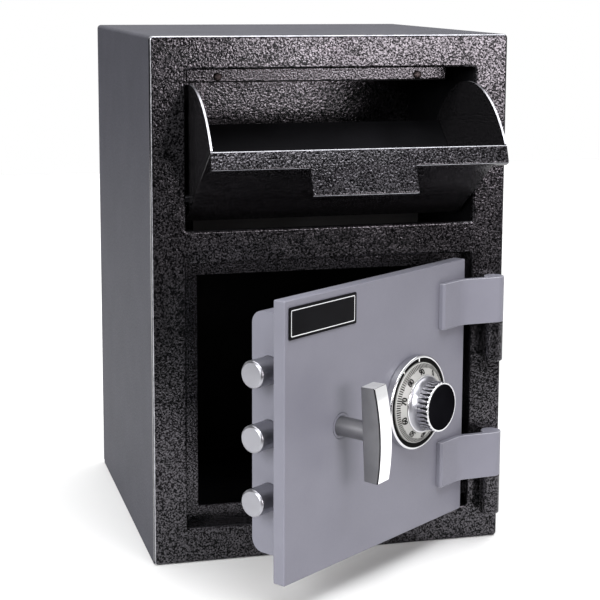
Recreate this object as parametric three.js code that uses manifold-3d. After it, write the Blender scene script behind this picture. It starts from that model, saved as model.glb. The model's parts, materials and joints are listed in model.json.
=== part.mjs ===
// A drop safe: a steel body with a tilt-out deposit hopper above a hinged vault door.
// Millimetres. +X is right, +Y goes into the safe and +Z is up. The origin is the middle of the underside.
import * as THREE from "three";
import { mergeVertices } from "three/addons/utils/BufferGeometryUtils.js";
import Module from "manifold-3d";

const wasm = await Module();
wasm.setup();

// Body
const bodyWidth = 356;
const bodyDepth = 356;
const bodyHeight = 514;
const wallThickness = 5;
const frontThickness = 6;
const backThickness = 6;
const baseThickness = 6;
const edgeRadius = 4;
const frontEdgeRound = 2.4;
const anchorHoleRadius = 6.5;
const anchorInsetX = 58;
const anchorInsetY = 64;

// Front frame openings
const sideBarWidth = 33;
const bottomBarHeight = 35;
const crossBarHeight = 31.5;
const topBarHeight = 32;
const doorOpeningShare = 0.6318;
const openingCornerRadius = 2;
const jambThickness = 3;
const stopDepth = 22;
const stopThickness = 3;
const stopWidth = 15;

// Vault door
const doorThickness = 12.7;
const doorRecess = 7;
const doorLatchGap = 3.7;
const doorHingeGap = 6.3;
const doorBottomGap = 2;
const doorTopGap = 4;
const doorCornerRadius = 1.5;
const doorEdgeRound = 1;
const doorOpenDegrees = 36;

// Door hinges
const hingeAxisFromOpening = 20;
const hingeAxisFromFront = 10.5;
const barrelRadius = 10;
const barrelHeight = 40;
const barrelChamfer = 1.2;
const barrelFootWidth = 9;
const hingePinRadius = 4;
const lowerBarrelBelowDoor = 7;
const upperBarrelBelowDoorTop = 104.5;
const strapHeight = 45.7;
const strapThickness = 6;
const strapOverlap = 45;
const strapBendDegrees = 31;
const strapBendRadius = 30;
const strapEndChamfer = 2;
const knuckleTopWall = 5;
const pinBottomWall = 3;

// Bolt housing on the back of the door
const panInset = 19.5;
const panInsetHeight = 16.8;
const panDepth = 41;
const panWall = 3;
const panCornerRadius = 12;
const windowInset = 20;
const coverOverlap = 8;
const coverThickness = 2;
const coverScrewRadius = 2;
const coverScrewHeadRadius = 4;
const coverScrewHeadHeight = 2;

// Locking bolts and their carriage
const boltworkRise = 1;
const boltRadius = 12.7;
const boltThrow = 25;
const boltAxisDepth = 33.3;
const boltPitch = 58.4;
const boltChamfer = 1.6;
const boltNeckRadius = 5;
const boltBodyLength = 46.8;
const boltNeckLength = 8;
const carriageThickness = 6;
const carriageDepth = 17;
const carriageSetback = 12.8;
const carriageEnd = 16;
const forkLength = 32;
const forkThickness = 5;
const forkHeight = 26;
const forkWall = 5;
const armHeight = 9;
const catchWidth = 8;
const catchHeight = 18;
const guideFromPan = 12;
const guideThickness = 3;
const guideEnd = 20;

// Handle
const handleFromLatchEdge = 81;
const handleShaftRadius = 9;
const handleStandoff = 30.5;
const handleBarLength = 90;
const handleBarWidth = 18;
const handleBarDepth = 15;
const handleBow = 4.8;
const handleEndSlant = 0.5;
const handleLeanDegrees = 4;
const handleNeckRadius = 6;
const bushingWall = 2.4;
const bushingFlangeRadius = 15;
const bushingFlangeThickness = 2.5;
const crankThickness = 3.3;
const crankRadius = 22.5;
const crankPinRadius = 4;
const crankPinLength = 11;
const crankPlay = 0.8;
const handleNutRadius = 9;
const handleNutThickness = 3.6;
const handleTurnDegrees = 90;

// Combination dial, measured forwards from the door's face
const dialFromHingeEdge = 87.3;
const ringRadius = 45.75;
const ringRimWidth = 2.75;
const ringHeight = 8;
const ringRound = 1.3;
const ringStep = 0.8;
const ringFloor = 5;
const ringBoreRadius = 39.8;
const dialRadius = 38.9;
const dialRimHeight = 8.4;
const dialShoulderRadius = 28;
const dialShoulderHeight = 13.5;
const knobBaseRadius = 27;
const knobFrontRadius = 24;
const knobFootHeight = 1.6;
const knobFrontHeight = 34;
const knobRound = 1;
const fluteCount = 32;
const fluteRadius = 1.1;
const fluteStandoff = 0.4;
const capRadius = 21.8;
const capDepth = 2;
const capRise = 2.2;
const spindleRadius = 4;

// Combination lock on the back of the door
const lockWidth = 61;
const lockHeight = 86;
const lockDepth = 28;
const lockWall = 3;
const lockFloor = 4;
const lockAboveSpindle = 45;
const lockCornerRadius = 3;
const lockCoverThickness = 2;
const wheelPostRadius = 8;
const wheelRadius = 22;
const wheelThickness = 2.5;
const wheelPitch = 4;
const wheelStart = 1.5;
const wheelCount = 3;
const gateWidth = 6;
const gateDepth = 6;
const camRadius = 18;
const camThickness = 4;
const camFromWheels = 2;
const lockBoltWidth = 11.6;
const lockBoltDepth = 10;
const lockBoltHeight = 18.7;
const lockBoltSetback = 4;
const leverThickness = 3.4;
const leverHalfWidth = 4;
const leverPivotDrop = 17.5;
const leverPivotRadius = 3;
const fenceRadius = 3;
const fenceClearance = 0.5;
const fenceDegrees = 45;
const noseRadius = 2.5;
const noseDegrees = 20;

// Bare plate on the door
const plateWidth = 96;
const plateHeight = 29;
const plateThickness = 1;
const plateInsetX = 4.7;
const plateInsetZ = 6.2;
const plateCornerRadius = 1.6;

// Deposit hopper and its chute
const hopperSideGap = 4.5;
const hopperTopGap = 2.4;
const hopperSillGap = 3;
const hopperSheetThickness = 2;
const hopperApexHeight = 35.6;
const hopperPanelSetback = 1.5;
const hopperPivotBehindPanel = 10.5;
const hopperPivotBelowApex = 5.8;
const hopperOpenDegrees = 57.7;
const trayDegrees = 18;
const trayFrontGap = 3;
const trayRearInset = 6;
const earRadius = 9;
const lipLength = 18;
const lipFlangeHeight = 7;
const lipDroopDegrees = 10;
const pullTabWidth = 100;
const pullTabLength = 44;
const pullTabFlangeHeight = 5;
const hopperPinRadius = 4;
const hopperPinHeadRadius = 5.6;
const hopperPinHeadHeight = 2.5;
const stopPinRadius = 4;
const stopPinHeadRadius = 6.5;
const stopPinInset = 20;
const stopLugClosedDegrees = -5;
const stopLugLength = 4;
const shelfPastTray = 4.8;
const shelfThickness = 3;
const shelfAboveOpening = 14.5;
const bumperInset = 20.5;
const bumperLength = 12;
const chuteSheetThickness = 2;
const chuteWallFromOpening = 1;
const chuteSlotDepth = 97;
const headerDepth = 47;
const headerSideGap = 12;
const headerThickness = 2;
const headerHeight = 24;
const headerBelowOpening = 15.5;
const headerFlange = 26;
const headerScrewInset = 30.4;
const headerScrewRise = 5.5;
const headerScrewRadius = 2.5;
const headerScrewHeadRadius = 4.2;
const headerScrewHeadHeight = 1.8;

// Fits, overruns and facet counts
const seat = 0.3;
const overrun = 10;
const cornerSteps = 3;
const coarseSides = 12;
const roundSides = 20;
const fineSides = 32;
const dialSides = 56;

// Places worked out from the sizes above
const radians = THREE.MathUtils.degToRad;
const left = -bodyWidth / 2;
const front = -bodyDepth / 2;
const back = bodyDepth / 2;
const innerWidth = bodyWidth - 2 * wallThickness;
const openingWidth = bodyWidth - 2 * sideBarWidth;
const openingLeft = left + sideBarWidth;
const openingRight = openingLeft + openingWidth;
const openHeight = bodyHeight - bottomBarHeight - crossBarHeight - topBarHeight;
const doorOpeningTop = bottomBarHeight + openHeight * doorOpeningShare;
const hopperSill = doorOpeningTop + crossBarHeight;
const hopperOpeningTop = bodyHeight - topBarHeight;
const hingeX = openingRight + hingeAxisFromOpening;
const hingeY = front - hingeAxisFromFront;
const doorLeft = openingLeft + doorLatchGap;
const doorRight = openingRight - doorHingeGap;
const doorBottom = bottomBarHeight + doorBottomGap;
const doorTop = doorOpeningTop - doorTopGap;
const boltworkHeight = (doorBottom + doorTop) / 2 + boltworkRise;
const doorFace = front + doorRecess;
const doorBack = doorFace + doorThickness;
const inside = doorBack + seat;
const panLeft = doorLeft + panInset;
const panRight = doorRight - panInset;
const panBottom = doorBottom + panInsetHeight;
const panTop = doorTop - panInsetHeight;
const panBack = doorBack + panDepth;
const boltY = doorFace + boltAxisDepth;
const boltTipX = panLeft - boltThrow;
const carriageX = boltTipX + boltBodyLength;
const carriageFront = inside + carriageSetback;
const handleX = doorLeft + handleFromLatchEdge;
const crankFront = inside + bushingFlangeThickness + seat;
const crankOrbit = boltThrow / 2 / Math.sin(radians(handleTurnDegrees / 2));
const crankPinX = handleX - boltThrow / 2;
const crankPinZ = boltworkHeight + crankOrbit * Math.cos(radians(handleTurnDegrees / 2));
const dialX = doorRight - dialFromHingeEdge;
const lockTop = boltworkHeight + lockAboveSpindle;
const lockInside = inside + lockFloor;
const wheelsFront = lockInside + wheelStart;
const camFront = wheelsFront + wheelCount * wheelPitch - (wheelPitch - wheelThickness) + camFromWheels;
const hopperWidth = openingWidth - 2 * hopperSideGap;
const panelY = front + hopperPanelSetback;
const apexZ = hopperSill + hopperApexHeight;
const hopperRadius = hopperOpeningTop - hopperTopGap - apexZ;
const trayLength = hopperRadius - trayRearInset;
const stopPinOrbit = hopperRadius - stopPinInset;
const hopperPivotY = panelY + hopperPivotBehindPanel;
const hopperPivotZ = apexZ - hopperPivotBelowApex;
const chuteWallX = openingWidth / 2 + chuteWallFromOpening;
const shelfTop = doorOpeningTop + shelfAboveOpening + shelfThickness;
const ceiling = bodyHeight - wallThickness;

// Finishes, as seen in the photograph
const finishes = {
  sidePaint: { color: 0x6b6c72, roughness: 0.45, metalness: 0.1 },
  hammerPaint: { color: 0x232326, roughness: 0.35, metalness: 0.2 },
  chutePaint: { color: 0x1a1a1c, roughness: 0.55, metalness: 0.1 },
  doorPaint: { color: 0x9a9aa6, roughness: 0.4, metalness: 0.1 },
  steel: { color: 0xa8a9ad, roughness: 0.35, metalness: 0.9 },
  satin: { color: 0x8a8a90, roughness: 0.4, metalness: 0.9 },
  chrome: { color: 0xe6e7ea, roughness: 0.12, metalness: 1 },
  dialSilver: { color: 0xc9cac8, roughness: 0.35, metalness: 0.8 },
  blackPlastic: { color: 0x0c0c0e, roughness: 0.5, metalness: 0 },
  zinc: { color: 0xb4b0a4, roughness: 0.5, metalness: 0.8 },
  brass: { color: 0xb89b5e, roughness: 0.4, metalness: 0.9 },
  rubber: { color: 0x161616, roughness: 0.9, metalness: 0 },
};

// Booleans
function solidOf(geometry) {
  const bare = geometry.clone();
  bare.deleteAttribute("normal");
  bare.deleteAttribute("uv");
  const merged = mergeVertices(bare);
  const vertProperties = new Float32Array(merged.attributes.position.array);
  const triVerts = new Uint32Array(merged.index.array);
  return new wasm.Manifold(new wasm.Mesh({ numProp: 3, vertProperties, triVerts }));
}

function geometryOf(solid) {
  const mesh = solid.getMesh();
  const geometry = new THREE.BufferGeometry();
  geometry.setAttribute("position", new THREE.BufferAttribute(new Float32Array(mesh.vertProperties), 3));
  geometry.setIndex(new THREE.BufferAttribute(new Uint32Array(mesh.triVerts), 1));
  return geometry;
}

function join(...geometries) {
  const solids = geometries.map(solidOf);
  return geometryOf(solids.reduce((whole, next) => whole.add(next)));
}

function cut(base, ...tools) {
  return geometryOf(tools.reduce((whole, tool) => whole.subtract(solidOf(tool)), solidOf(base)));
}

// Shapes
function box(x0, x1, y0, y1, z0, z1) {
  const geometry = new THREE.BoxGeometry(x1 - x0, y1 - y0, z1 - z0);
  return geometry.translate((x0 + x1) / 2, (y0 + y1) / 2, (z0 + z1) / 2);
}

function roundedRectangle(x0, x1, y0, y1, r) {
  const shape = new THREE.Shape();
  shape.moveTo(x0 + r, y0);
  shape.lineTo(x1 - r, y0);
  shape.absarc(x1 - r, y0 + r, r, -Math.PI / 2, 0);
  shape.lineTo(x1, y1 - r);
  shape.absarc(x1 - r, y1 - r, r, 0, Math.PI / 2);
  shape.lineTo(x0 + r, y1);
  shape.absarc(x0 + r, y1 - r, r, Math.PI / 2, Math.PI);
  shape.lineTo(x0, y0 + r);
  shape.absarc(x0 + r, y0 + r, r, Math.PI, 1.5 * Math.PI);
  return shape;
}

function polygon(points) {
  return new THREE.Shape(points.map(([x, y]) => new THREE.Vector2(x, y)));
}

function extrude(shape, depth, turn, options) {
  const settings = { depth, bevelEnabled: false, curveSegments: cornerSteps, ...options };
  return new THREE.ExtrudeGeometry(shape, settings).applyMatrix4(turn);
}

const X = new THREE.Vector3(1, 0, 0);
const Y = new THREE.Vector3(0, 1, 0);
const Z = new THREE.Vector3(0, 0, 1);
const facingFront = new THREE.Matrix4().makeBasis(X, Z, Y.clone().negate());
const alongX = new THREE.Matrix4().makeBasis(Y, Z, X);

// A plate with an (x, z) outline, from y0 to y1
function plateY(shape, y0, y1, options) {
  return extrude(shape, y1 - y0, facingFront, options).translate(0, y1, 0);
}

// A bar with a (y, z) outline, from x0 to x1
function barX(shape, x0, x1) {
  return extrude(shape, x1 - x0, alongX).translate(x0, 0, 0);
}

// A column with an (x, y) outline, from z0 to z1
function columnZ(shape, z0, z1) {
  return extrude(shape, z1 - z0, new THREE.Matrix4()).translate(0, 0, z0);
}

// A plate whose front edges are rounded and whose back is flat
function roundedPlateY(shape, y0, y1, round) {
  const options = {
    bevelEnabled: true,
    bevelThickness: round,
    bevelSize: round,
    bevelOffset: -round,
    bevelSegments: cornerSteps,
  };
  const plate = plateY(shape, y0 + round, y1 + round, options);
  const reach = bodyWidth + bodyHeight;
  return cut(plate, box(-reach, reach, y1, y1 + overrun, -reach, reach));
}

// Round bars along each axis
function rodX(radius, x0, x1, y, z, sides = roundSides) {
  const geometry = new THREE.CylinderGeometry(radius, radius, x1 - x0, sides);
  return geometry.rotateZ(-Math.PI / 2).translate((x0 + x1) / 2, y, z);
}

function rodY(radius, y0, y1, x, z, sides = roundSides) {
  return new THREE.CylinderGeometry(radius, radius, y1 - y0, sides).translate(x, (y0 + y1) / 2, z);
}

function rodZ(radius, z0, z1, x, y, sides = roundSides) {
  const geometry = new THREE.CylinderGeometry(radius, radius, z1 - z0, sides);
  return geometry.rotateX(Math.PI / 2).translate(x, y, (z0 + z1) / 2);
}

// A turned piece about the Y axis from [radius, forward distance] points, placed on the door's face
function turnedY(points, sides, x, z) {
  const profile = points.map(([r, forward]) => new THREE.Vector2(r, forward));
  const geometry = new THREE.LatheGeometry(profile, sides);
  return geometry.rotateZ(Math.PI).translate(x, doorFace, z);
}

// A bar with round ends between two (x, z) points, from y0 to y1
function capsuleY(radius, from, to, y0, y1) {
  const angle = Math.atan2(to[1] - from[1], to[0] - from[0]);
  const shape = new THREE.Shape();
  shape.absarc(from[0], from[1], radius, angle + Math.PI / 2, angle + 1.5 * Math.PI);
  shape.absarc(to[0], to[1], radius, angle - Math.PI / 2, angle + Math.PI / 2);
  return plateY(shape, y0, y1, { curveSegments: 2 * cornerSteps });
}

function add(parent, name, geometry, finish) {
  const mesh = new THREE.Mesh(geometry, new THREE.MeshStandardMaterial(finishes[finish]));
  mesh.name = name;
  parent.add(mesh);
}

// The fixed sheet-metal body
function buildBody(parent) {
  const wrap = new THREE.Shape();
  wrap.moveTo(left, 0);
  wrap.lineTo(left + wallThickness, 0);
  wrap.lineTo(left + wallThickness, ceiling);
  wrap.lineTo(-left - wallThickness, ceiling);
  wrap.lineTo(-left - wallThickness, 0);
  wrap.lineTo(-left, 0);
  wrap.lineTo(-left, bodyHeight - edgeRadius);
  wrap.absarc(-left - edgeRadius, bodyHeight - edgeRadius, edgeRadius, 0, Math.PI / 2);
  wrap.lineTo(left + edgeRadius, bodyHeight);
  wrap.absarc(left + edgeRadius, bodyHeight - edgeRadius, edgeRadius, Math.PI / 2, Math.PI);
  add(parent, "body_wrap", plateY(wrap, front + frontThickness, back - backThickness), "sidePaint");

  const backOutline = roundedRectangle(left, -left, 0, bodyHeight, edgeRadius);
  add(parent, "back_panel", plateY(backOutline, back - backThickness, back), "sidePaint");

  const base = box(
    -innerWidth / 2,
    innerWidth / 2,
    front + frontThickness,
    back - backThickness,
    0,
    baseThickness,
  );
  const anchors = [];
  for (const x of [-1, 1]) {
    for (const y of [-1, 1]) {
      const holeX = x * (bodyWidth / 2 - anchorInsetX);
      const holeY = y * (bodyDepth / 2 - anchorInsetY);
      anchors.push(rodZ(anchorHoleRadius, -overrun, baseThickness + overrun, holeX, holeY, coarseSides));
    }
  }
  add(parent, "base_panel", cut(base, ...anchors), "chutePaint");
}

// The front plate with its two openings, and the stop that the door closes on
function buildFront(parent) {
  const outline = roundedRectangle(left, -left, 0, bodyHeight, edgeRadius);
  const doorHole = [openingLeft, openingRight, bottomBarHeight, doorOpeningTop];
  const hopperHole = [openingLeft, openingRight, hopperSill, hopperOpeningTop];
  outline.holes.push(roundedRectangle(...doorHole, openingCornerRadius));
  outline.holes.push(roundedRectangle(...hopperHole, openingCornerRadius));
  const plate = roundedPlateY(outline, front, front + frontThickness, frontEdgeRound);

  const [x0, x1, z0, z1] = doorHole;
  const jamb = roundedRectangle(
    x0 - jambThickness,
    x1 + jambThickness,
    z0 - jambThickness,
    z1 + jambThickness,
    openingCornerRadius + jambThickness,
  );
  jamb.holes.push(roundedRectangle(...doorHole, openingCornerRadius));
  const jambRing = plateY(jamb, front + frontThickness / 2, front + stopDepth);
  add(parent, "front_frame", join(plate, jambRing), "hammerPaint");

  const stop = polygon([
    [x0 - jambThickness, z0 - jambThickness],
    [x1 + jambThickness, z0 - jambThickness],
    [x1 + jambThickness, z1 + jambThickness],
    [x0 - jambThickness, z1 + jambThickness],
  ]);
  stop.holes.push(
    polygon([
      [x0 + stopWidth, z0 + stopWidth],
      [x0 + stopWidth, z1 - stopWidth],
      [x1 - stopWidth, z1 - stopWidth],
      [x1 - stopWidth, z0 + stopWidth],
    ]),
  );
  const stopFrame = plateY(stop, front + stopDepth, front + stopDepth + stopThickness);
  add(parent, "door_stop_frame", stopFrame, "hammerPaint");
}

// The shelf above the vault and the chute that the hopper tips into
function buildChute(parent) {
  const halfWidth = innerWidth / 2;
  const chuteFront = front + frontThickness;
  const slope = radians(trayDegrees);
  const trayBack = panelY + trayLength * Math.cos(slope);
  const shelfBack = trayBack + shelfPastTray;
  const chuteBack = shelfBack + chuteSlotDepth;
  const outerX = chuteWallX + chuteSheetThickness;
  const shelf = box(-halfWidth, halfWidth, chuteFront, shelfBack, shelfTop - shelfThickness, shelfTop);
  add(parent, "partition_shelf", shelf, "chutePaint");

  const bumperTop = apexZ - trayLength * Math.sin(slope) - hopperSheetThickness * Math.cos(slope) - seat;
  const bumperX = hopperWidth / 2 - bumperInset;
  const bumper = box(-bumperX, bumperX, trayBack - bumperLength, trayBack, shelfTop, bumperTop);
  add(parent, "hopper_bumper", bumper, "rubber");

  const stopDegrees = hopperOpenDegrees + stopLugClosedDegrees;
  const stopStep = 2 * Math.asin((2 * stopPinRadius + seat) / 2 / stopPinOrbit);
  const stopAngle = radians(stopDegrees) + stopStep;
  const stopY = hopperPivotY + stopPinOrbit * Math.cos(stopAngle);
  const stopZ = hopperPivotZ + stopPinOrbit * Math.sin(stopAngle);
  for (const [name, side] of [
    ["left", -1],
    ["right", 1],
  ]) {
    const wall = cut(
      box(chuteWallX, outerX, chuteFront, chuteBack, shelfTop, ceiling),
      rodX(hopperPinRadius + seat, chuteWallX - overrun, outerX + overrun, hopperPivotY, hopperPivotZ),
      rodX(stopPinRadius + seat, chuteWallX - overrun, outerX + overrun, stopY, stopZ, coarseSides),
    );
    add(parent, "chute_wall_" + name, onSide(side, wall), "chutePaint");

    const pinHead = outerX + seat;
    const pinInner = hopperWidth / 2 - hopperSheetThickness;
    const pin = join(
      rodX(hopperPinRadius, pinInner, pinHead + hopperPinHeadHeight, hopperPivotY, hopperPivotZ),
      rodX(hopperPinHeadRadius, pinHead, pinHead + hopperPinHeadHeight, hopperPivotY, hopperPivotZ),
    );
    add(parent, "hopper_pin_" + name, onSide(side, pin), "zinc");

    const stopInner = hopperWidth / 2 + 2 * seat;
    const stopOuter = outerX + hopperPinHeadHeight;
    const stopPin = join(
      rodX(stopPinRadius, stopInner, stopOuter, stopY, stopZ, coarseSides),
      rodX(stopPinHeadRadius, pinHead, stopOuter, stopY, stopZ, coarseSides),
    );
    add(parent, "hopper_stop_" + name, onSide(side, stopPin), "zinc");
  }

  const backWall = box(-outerX, outerX, chuteBack, chuteBack + chuteSheetThickness, shelfTop, ceiling);
  add(parent, "chute_back_wall", backWall, "hammerPaint");
}

// A right-hand piece as it is, or mirrored with its faces turned round for the left
function onSide(side, geometry) {
  const copy = geometry.clone().scale(side, 1, 1);
  if (side < 0) {
    const index = copy.index.array;
    for (let i = 0; i < index.length; i += 3) {
      const second = index[i + 1];
      index[i + 1] = index[i + 2];
      index[i + 2] = second;
    }
  }
  return copy;
}

// The strip across the top of the hopper opening, its angle and its two screws
function buildHeader(parent) {
  const stripFront = front + frontThickness + headerDepth;
  const stripBack = stripFront + headerThickness;
  const stripBottom = hopperOpeningTop - headerBelowOpening;
  const half = openingWidth / 2 - headerSideGap;
  const screwZ = stripBottom + headerScrewRise;
  const screwPlaces = [-1, 1].map((side) => side * (half - headerScrewInset));
  const holes = screwPlaces.map((x) =>
    rodY(headerScrewRadius + seat, front, stripBack + headerFlange, x, screwZ, coarseSides),
  );
  const strip = box(-half, half, stripFront, stripBack, stripBottom, stripBottom + headerHeight);
  add(parent, "header_strip", cut(strip, ...holes), "hammerPaint");

  const angleBack = stripBack + headerThickness;
  const angle = join(
    box(-half, half, stripBack, angleBack, stripBottom, ceiling),
    box(-half, half, stripBack, stripBack + headerFlange, ceiling - headerThickness, ceiling),
  );
  add(parent, "header_angle", cut(angle, ...holes), "chutePaint");

  screwPlaces.forEach((x, i) => {
    const headBack = stripFront - seat;
    const headFront = headBack - headerScrewHeadHeight;
    const screw = join(
      rodY(headerScrewRadius, headFront, angleBack + headerThickness, x, screwZ, coarseSides),
      rodY(headerScrewHeadRadius, headFront, headBack, x, screwZ, coarseSides),
    );
    add(parent, "header_screw_" + (i + 1), screw, "zinc");
  });
}

// Two lift-off hinges: a barrel on the frame with its pin, and a strap on the door
function buildHinges(parent, door) {
  const pinHole = hingePinRadius + seat;
  for (const [name, bottom] of [
    ["lower", doorBottom - lowerBarrelBelowDoor],
    ["upper", doorTop - upperBarrelBelowDoorTop],
  ]) {
    const top = bottom + barrelHeight;
    const profile = [
      [0, bottom],
      [barrelRadius - barrelChamfer, bottom],
      [barrelRadius, bottom + barrelChamfer],
      [barrelRadius, top],
      [0, top],
    ];
    const points = profile.map(([r, z]) => new THREE.Vector2(r, z));
    const barrel = new THREE.LatheGeometry(points, roundSides);
    barrel.rotateX(Math.PI / 2).translate(hingeX, hingeY, 0);
    const foot = box(
      hingeX - barrelFootWidth / 2,
      hingeX + barrelFootWidth / 2,
      hingeY,
      front,
      bottom + barrelChamfer,
      top,
    );
    const bore = rodZ(pinHole, bottom + pinBottomWall, top + overrun, hingeX, hingeY);
    add(parent, "hinge_barrel_" + name, cut(join(barrel, foot), bore), "hammerPaint");

    const strapBottom = top + seat;
    const strapTop = strapBottom + strapHeight;
    const pin = rodZ(
      hingePinRadius,
      bottom + pinBottomWall + seat,
      strapTop - knuckleTopWall - seat,
      hingeX,
      hingeY,
    );
    add(parent, "hinge_pin_" + name, pin, "steel");

    const strap = join(
      columnZ(polygon(strapOutline()), strapBottom, strapTop),
      rodZ(barrelRadius, strapBottom, strapTop, hingeX, hingeY),
    );
    const strapBore = rodZ(pinHole, strapBottom - overrun, strapTop - knuckleTopWall, hingeX, hingeY);
    add(door, "hinge_strap_" + name, cut(strap, strapBore), "doorPaint");
  }
}

// The strap seen from above: flat on the door, bent forwards, and tangent to the front of its knuckle
function strapOutline() {
  const bend = radians(strapBendDegrees);
  const half = strapThickness / 2;
  const middle = doorFace - seat - half;
  const tangent = barrelRadius - half;
  const tangentX = hingeX - tangent * Math.sin(bend);
  const tangentY = hingeY - tangent * Math.cos(bend);
  const straight = (middle - strapBendRadius * (1 - Math.cos(bend)) - tangentY) / Math.sin(bend);
  const bendX = tangentX - straight * Math.cos(bend) - strapBendRadius * Math.sin(bend);
  const line = [];
  for (let i = 0; i <= 2 * cornerSteps; i += 1) {
    const angle = (bend * i) / (2 * cornerSteps);
    const x = bendX + strapBendRadius * Math.sin(angle);
    const y = middle - strapBendRadius * (1 - Math.cos(angle));
    line.push([x, y, angle]);
  }
  line.push([tangentX, tangentY, bend]);
  const start = doorRight - strapOverlap;
  const outer = line.map(([x, y, a]) => [x - half * Math.sin(a), y - half * Math.cos(a)]);
  const inner = line.map(([x, y, a]) => [x + half * Math.sin(a), y + half * Math.cos(a)]);
  return [
    [start, middle + half],
    [start, middle - half + strapEndChamfer],
    [start + strapEndChamfer, middle - half],
    ...outer,
    ...inner.reverse(),
  ];
}

// The door's plate, its bolt housing and what is fixed to them
function buildDoorShell(door) {
  const plateOutline = roundedRectangle(doorLeft, doorRight, doorBottom, doorTop, doorCornerRadius);
  const bushingRadius = handleShaftRadius + seat + bushingWall;
  const plate = cut(
    roundedPlateY(plateOutline, doorFace, doorBack, doorEdgeRound),
    rodY(bushingRadius + seat, doorFace - overrun, doorBack + overrun, handleX, boltworkHeight),
    rodY(spindleRadius + 2 * seat, doorFace - overrun, doorBack + overrun, dialX, boltworkHeight),
  );
  add(door, "door_plate", plate, "doorPaint");

  const namePlateLeft = doorLeft + plateInsetX;
  const namePlateTop = doorTop - plateInsetZ;
  const namePlate = roundedRectangle(
    namePlateLeft,
    namePlateLeft + plateWidth,
    namePlateTop - plateHeight,
    namePlateTop,
    plateCornerRadius,
  );
  const namePlateBack = doorFace - seat;
  add(door, "nameplate", plateY(namePlate, namePlateBack - plateThickness, namePlateBack), "blackPlastic");

  const sleeve = cut(
    join(
      rodY(bushingRadius, doorFace, inside + bushingFlangeThickness, handleX, boltworkHeight),
      rodY(bushingFlangeRadius, inside, inside + bushingFlangeThickness, handleX, boltworkHeight),
    ),
    rodY(handleShaftRadius + seat, doorFace - overrun, inside + overrun, handleX, boltworkHeight),
  );
  add(door, "handle_bushing", sleeve, "steel");
}

// The housing's outline seen from the side, with its two back corners rounded
function panOutline(inset) {
  const bottom = panBottom + inset;
  const top = panTop - inset;
  const rear = panBack - inset;
  const r = panCornerRadius - inset;
  const shape = new THREE.Shape();
  shape.moveTo(inside, bottom);
  shape.lineTo(rear - r, bottom);
  shape.absarc(rear - r, bottom + r, r, -Math.PI / 2, 0);
  shape.lineTo(rear, top - r);
  shape.absarc(rear - r, top - r, r, 0, Math.PI / 2);
  shape.lineTo(inside, top);
  return shape;
}

function buildBoltHousing(door) {
  const hollow = barX(panOutline(panWall), panLeft + panWall, panRight - panWall);
  const mouth = box(
    panLeft + panWall,
    panRight - panWall,
    doorBack - overrun,
    inside + panWall,
    panBottom + panWall,
    panTop - panWall,
  );
  const windowLeft = panLeft + windowInset;
  const windowRight = panRight - windowInset;
  const windowBottom = panBottom + windowInset;
  const windowTop = panTop - windowInset;
  const window = box(
    windowLeft,
    windowRight,
    panBack - 2 * panWall,
    panBack + overrun,
    windowBottom,
    windowTop,
  );
  const boltHoles = boltHeights().map((z) =>
    rodX(boltRadius + seat, panLeft - overrun, panLeft + overrun, boltY, z),
  );
  const screwPlaces = [];
  for (const x of [windowLeft - coverOverlap / 2, windowRight + coverOverlap / 2]) {
    for (const z of [windowBottom - coverOverlap / 2, windowTop + coverOverlap / 2]) {
      screwPlaces.push([x, z]);
    }
  }
  const screwHoles = screwPlaces.map(([x, z]) =>
    rodY(coverScrewRadius + seat, panBack - 2 * panWall, panBack + overrun, x, z, coarseSides),
  );
  const shell = barX(panOutline(0), panLeft, panRight);
  const pan = cut(shell, hollow, mouth, window, ...boltHoles, ...screwHoles);
  add(door, "bolt_housing", pan, "doorPaint");

  const coverFront = panBack + seat;
  const coverOutline = roundedRectangle(
    windowLeft - coverOverlap,
    windowRight + coverOverlap,
    windowBottom - coverOverlap,
    windowTop + coverOverlap,
    coverOverlap / 2,
  );
  const cover = cut(plateY(coverOutline, coverFront, coverFront + coverThickness), ...screwHoles);
  add(door, "housing_cover", cover, "doorPaint");
  screwPlaces.forEach(([x, z], i) => {
    const headFront = coverFront + coverThickness + seat;
    const screw = join(
      rodY(coverScrewRadius, panBack - panWall, headFront + coverScrewHeadHeight, x, z, coarseSides),
      rodY(coverScrewHeadRadius, headFront, headFront + coverScrewHeadHeight, x, z, coarseSides),
    );
    add(door, "cover_screw_" + (i + 1), screw, "zinc");
  });

  const guideX = panLeft + guideFromPan;
  const heights = boltHeights();
  const guide = cut(
    box(
      guideX,
      guideX + guideThickness,
      inside,
      panBack - panWall - seat,
      heights[0] - guideEnd,
      heights[heights.length - 1] + guideEnd,
    ),
    ...heights.map((z) => rodX(boltRadius + seat, guideX - overrun, guideX + overrun, boltY, z)),
  );
  add(door, "bolt_guide", guide, "zinc");
}

function boltHeights() {
  return [-1, 0, 1].map((step) => boltworkHeight + step * boltPitch);
}

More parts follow.
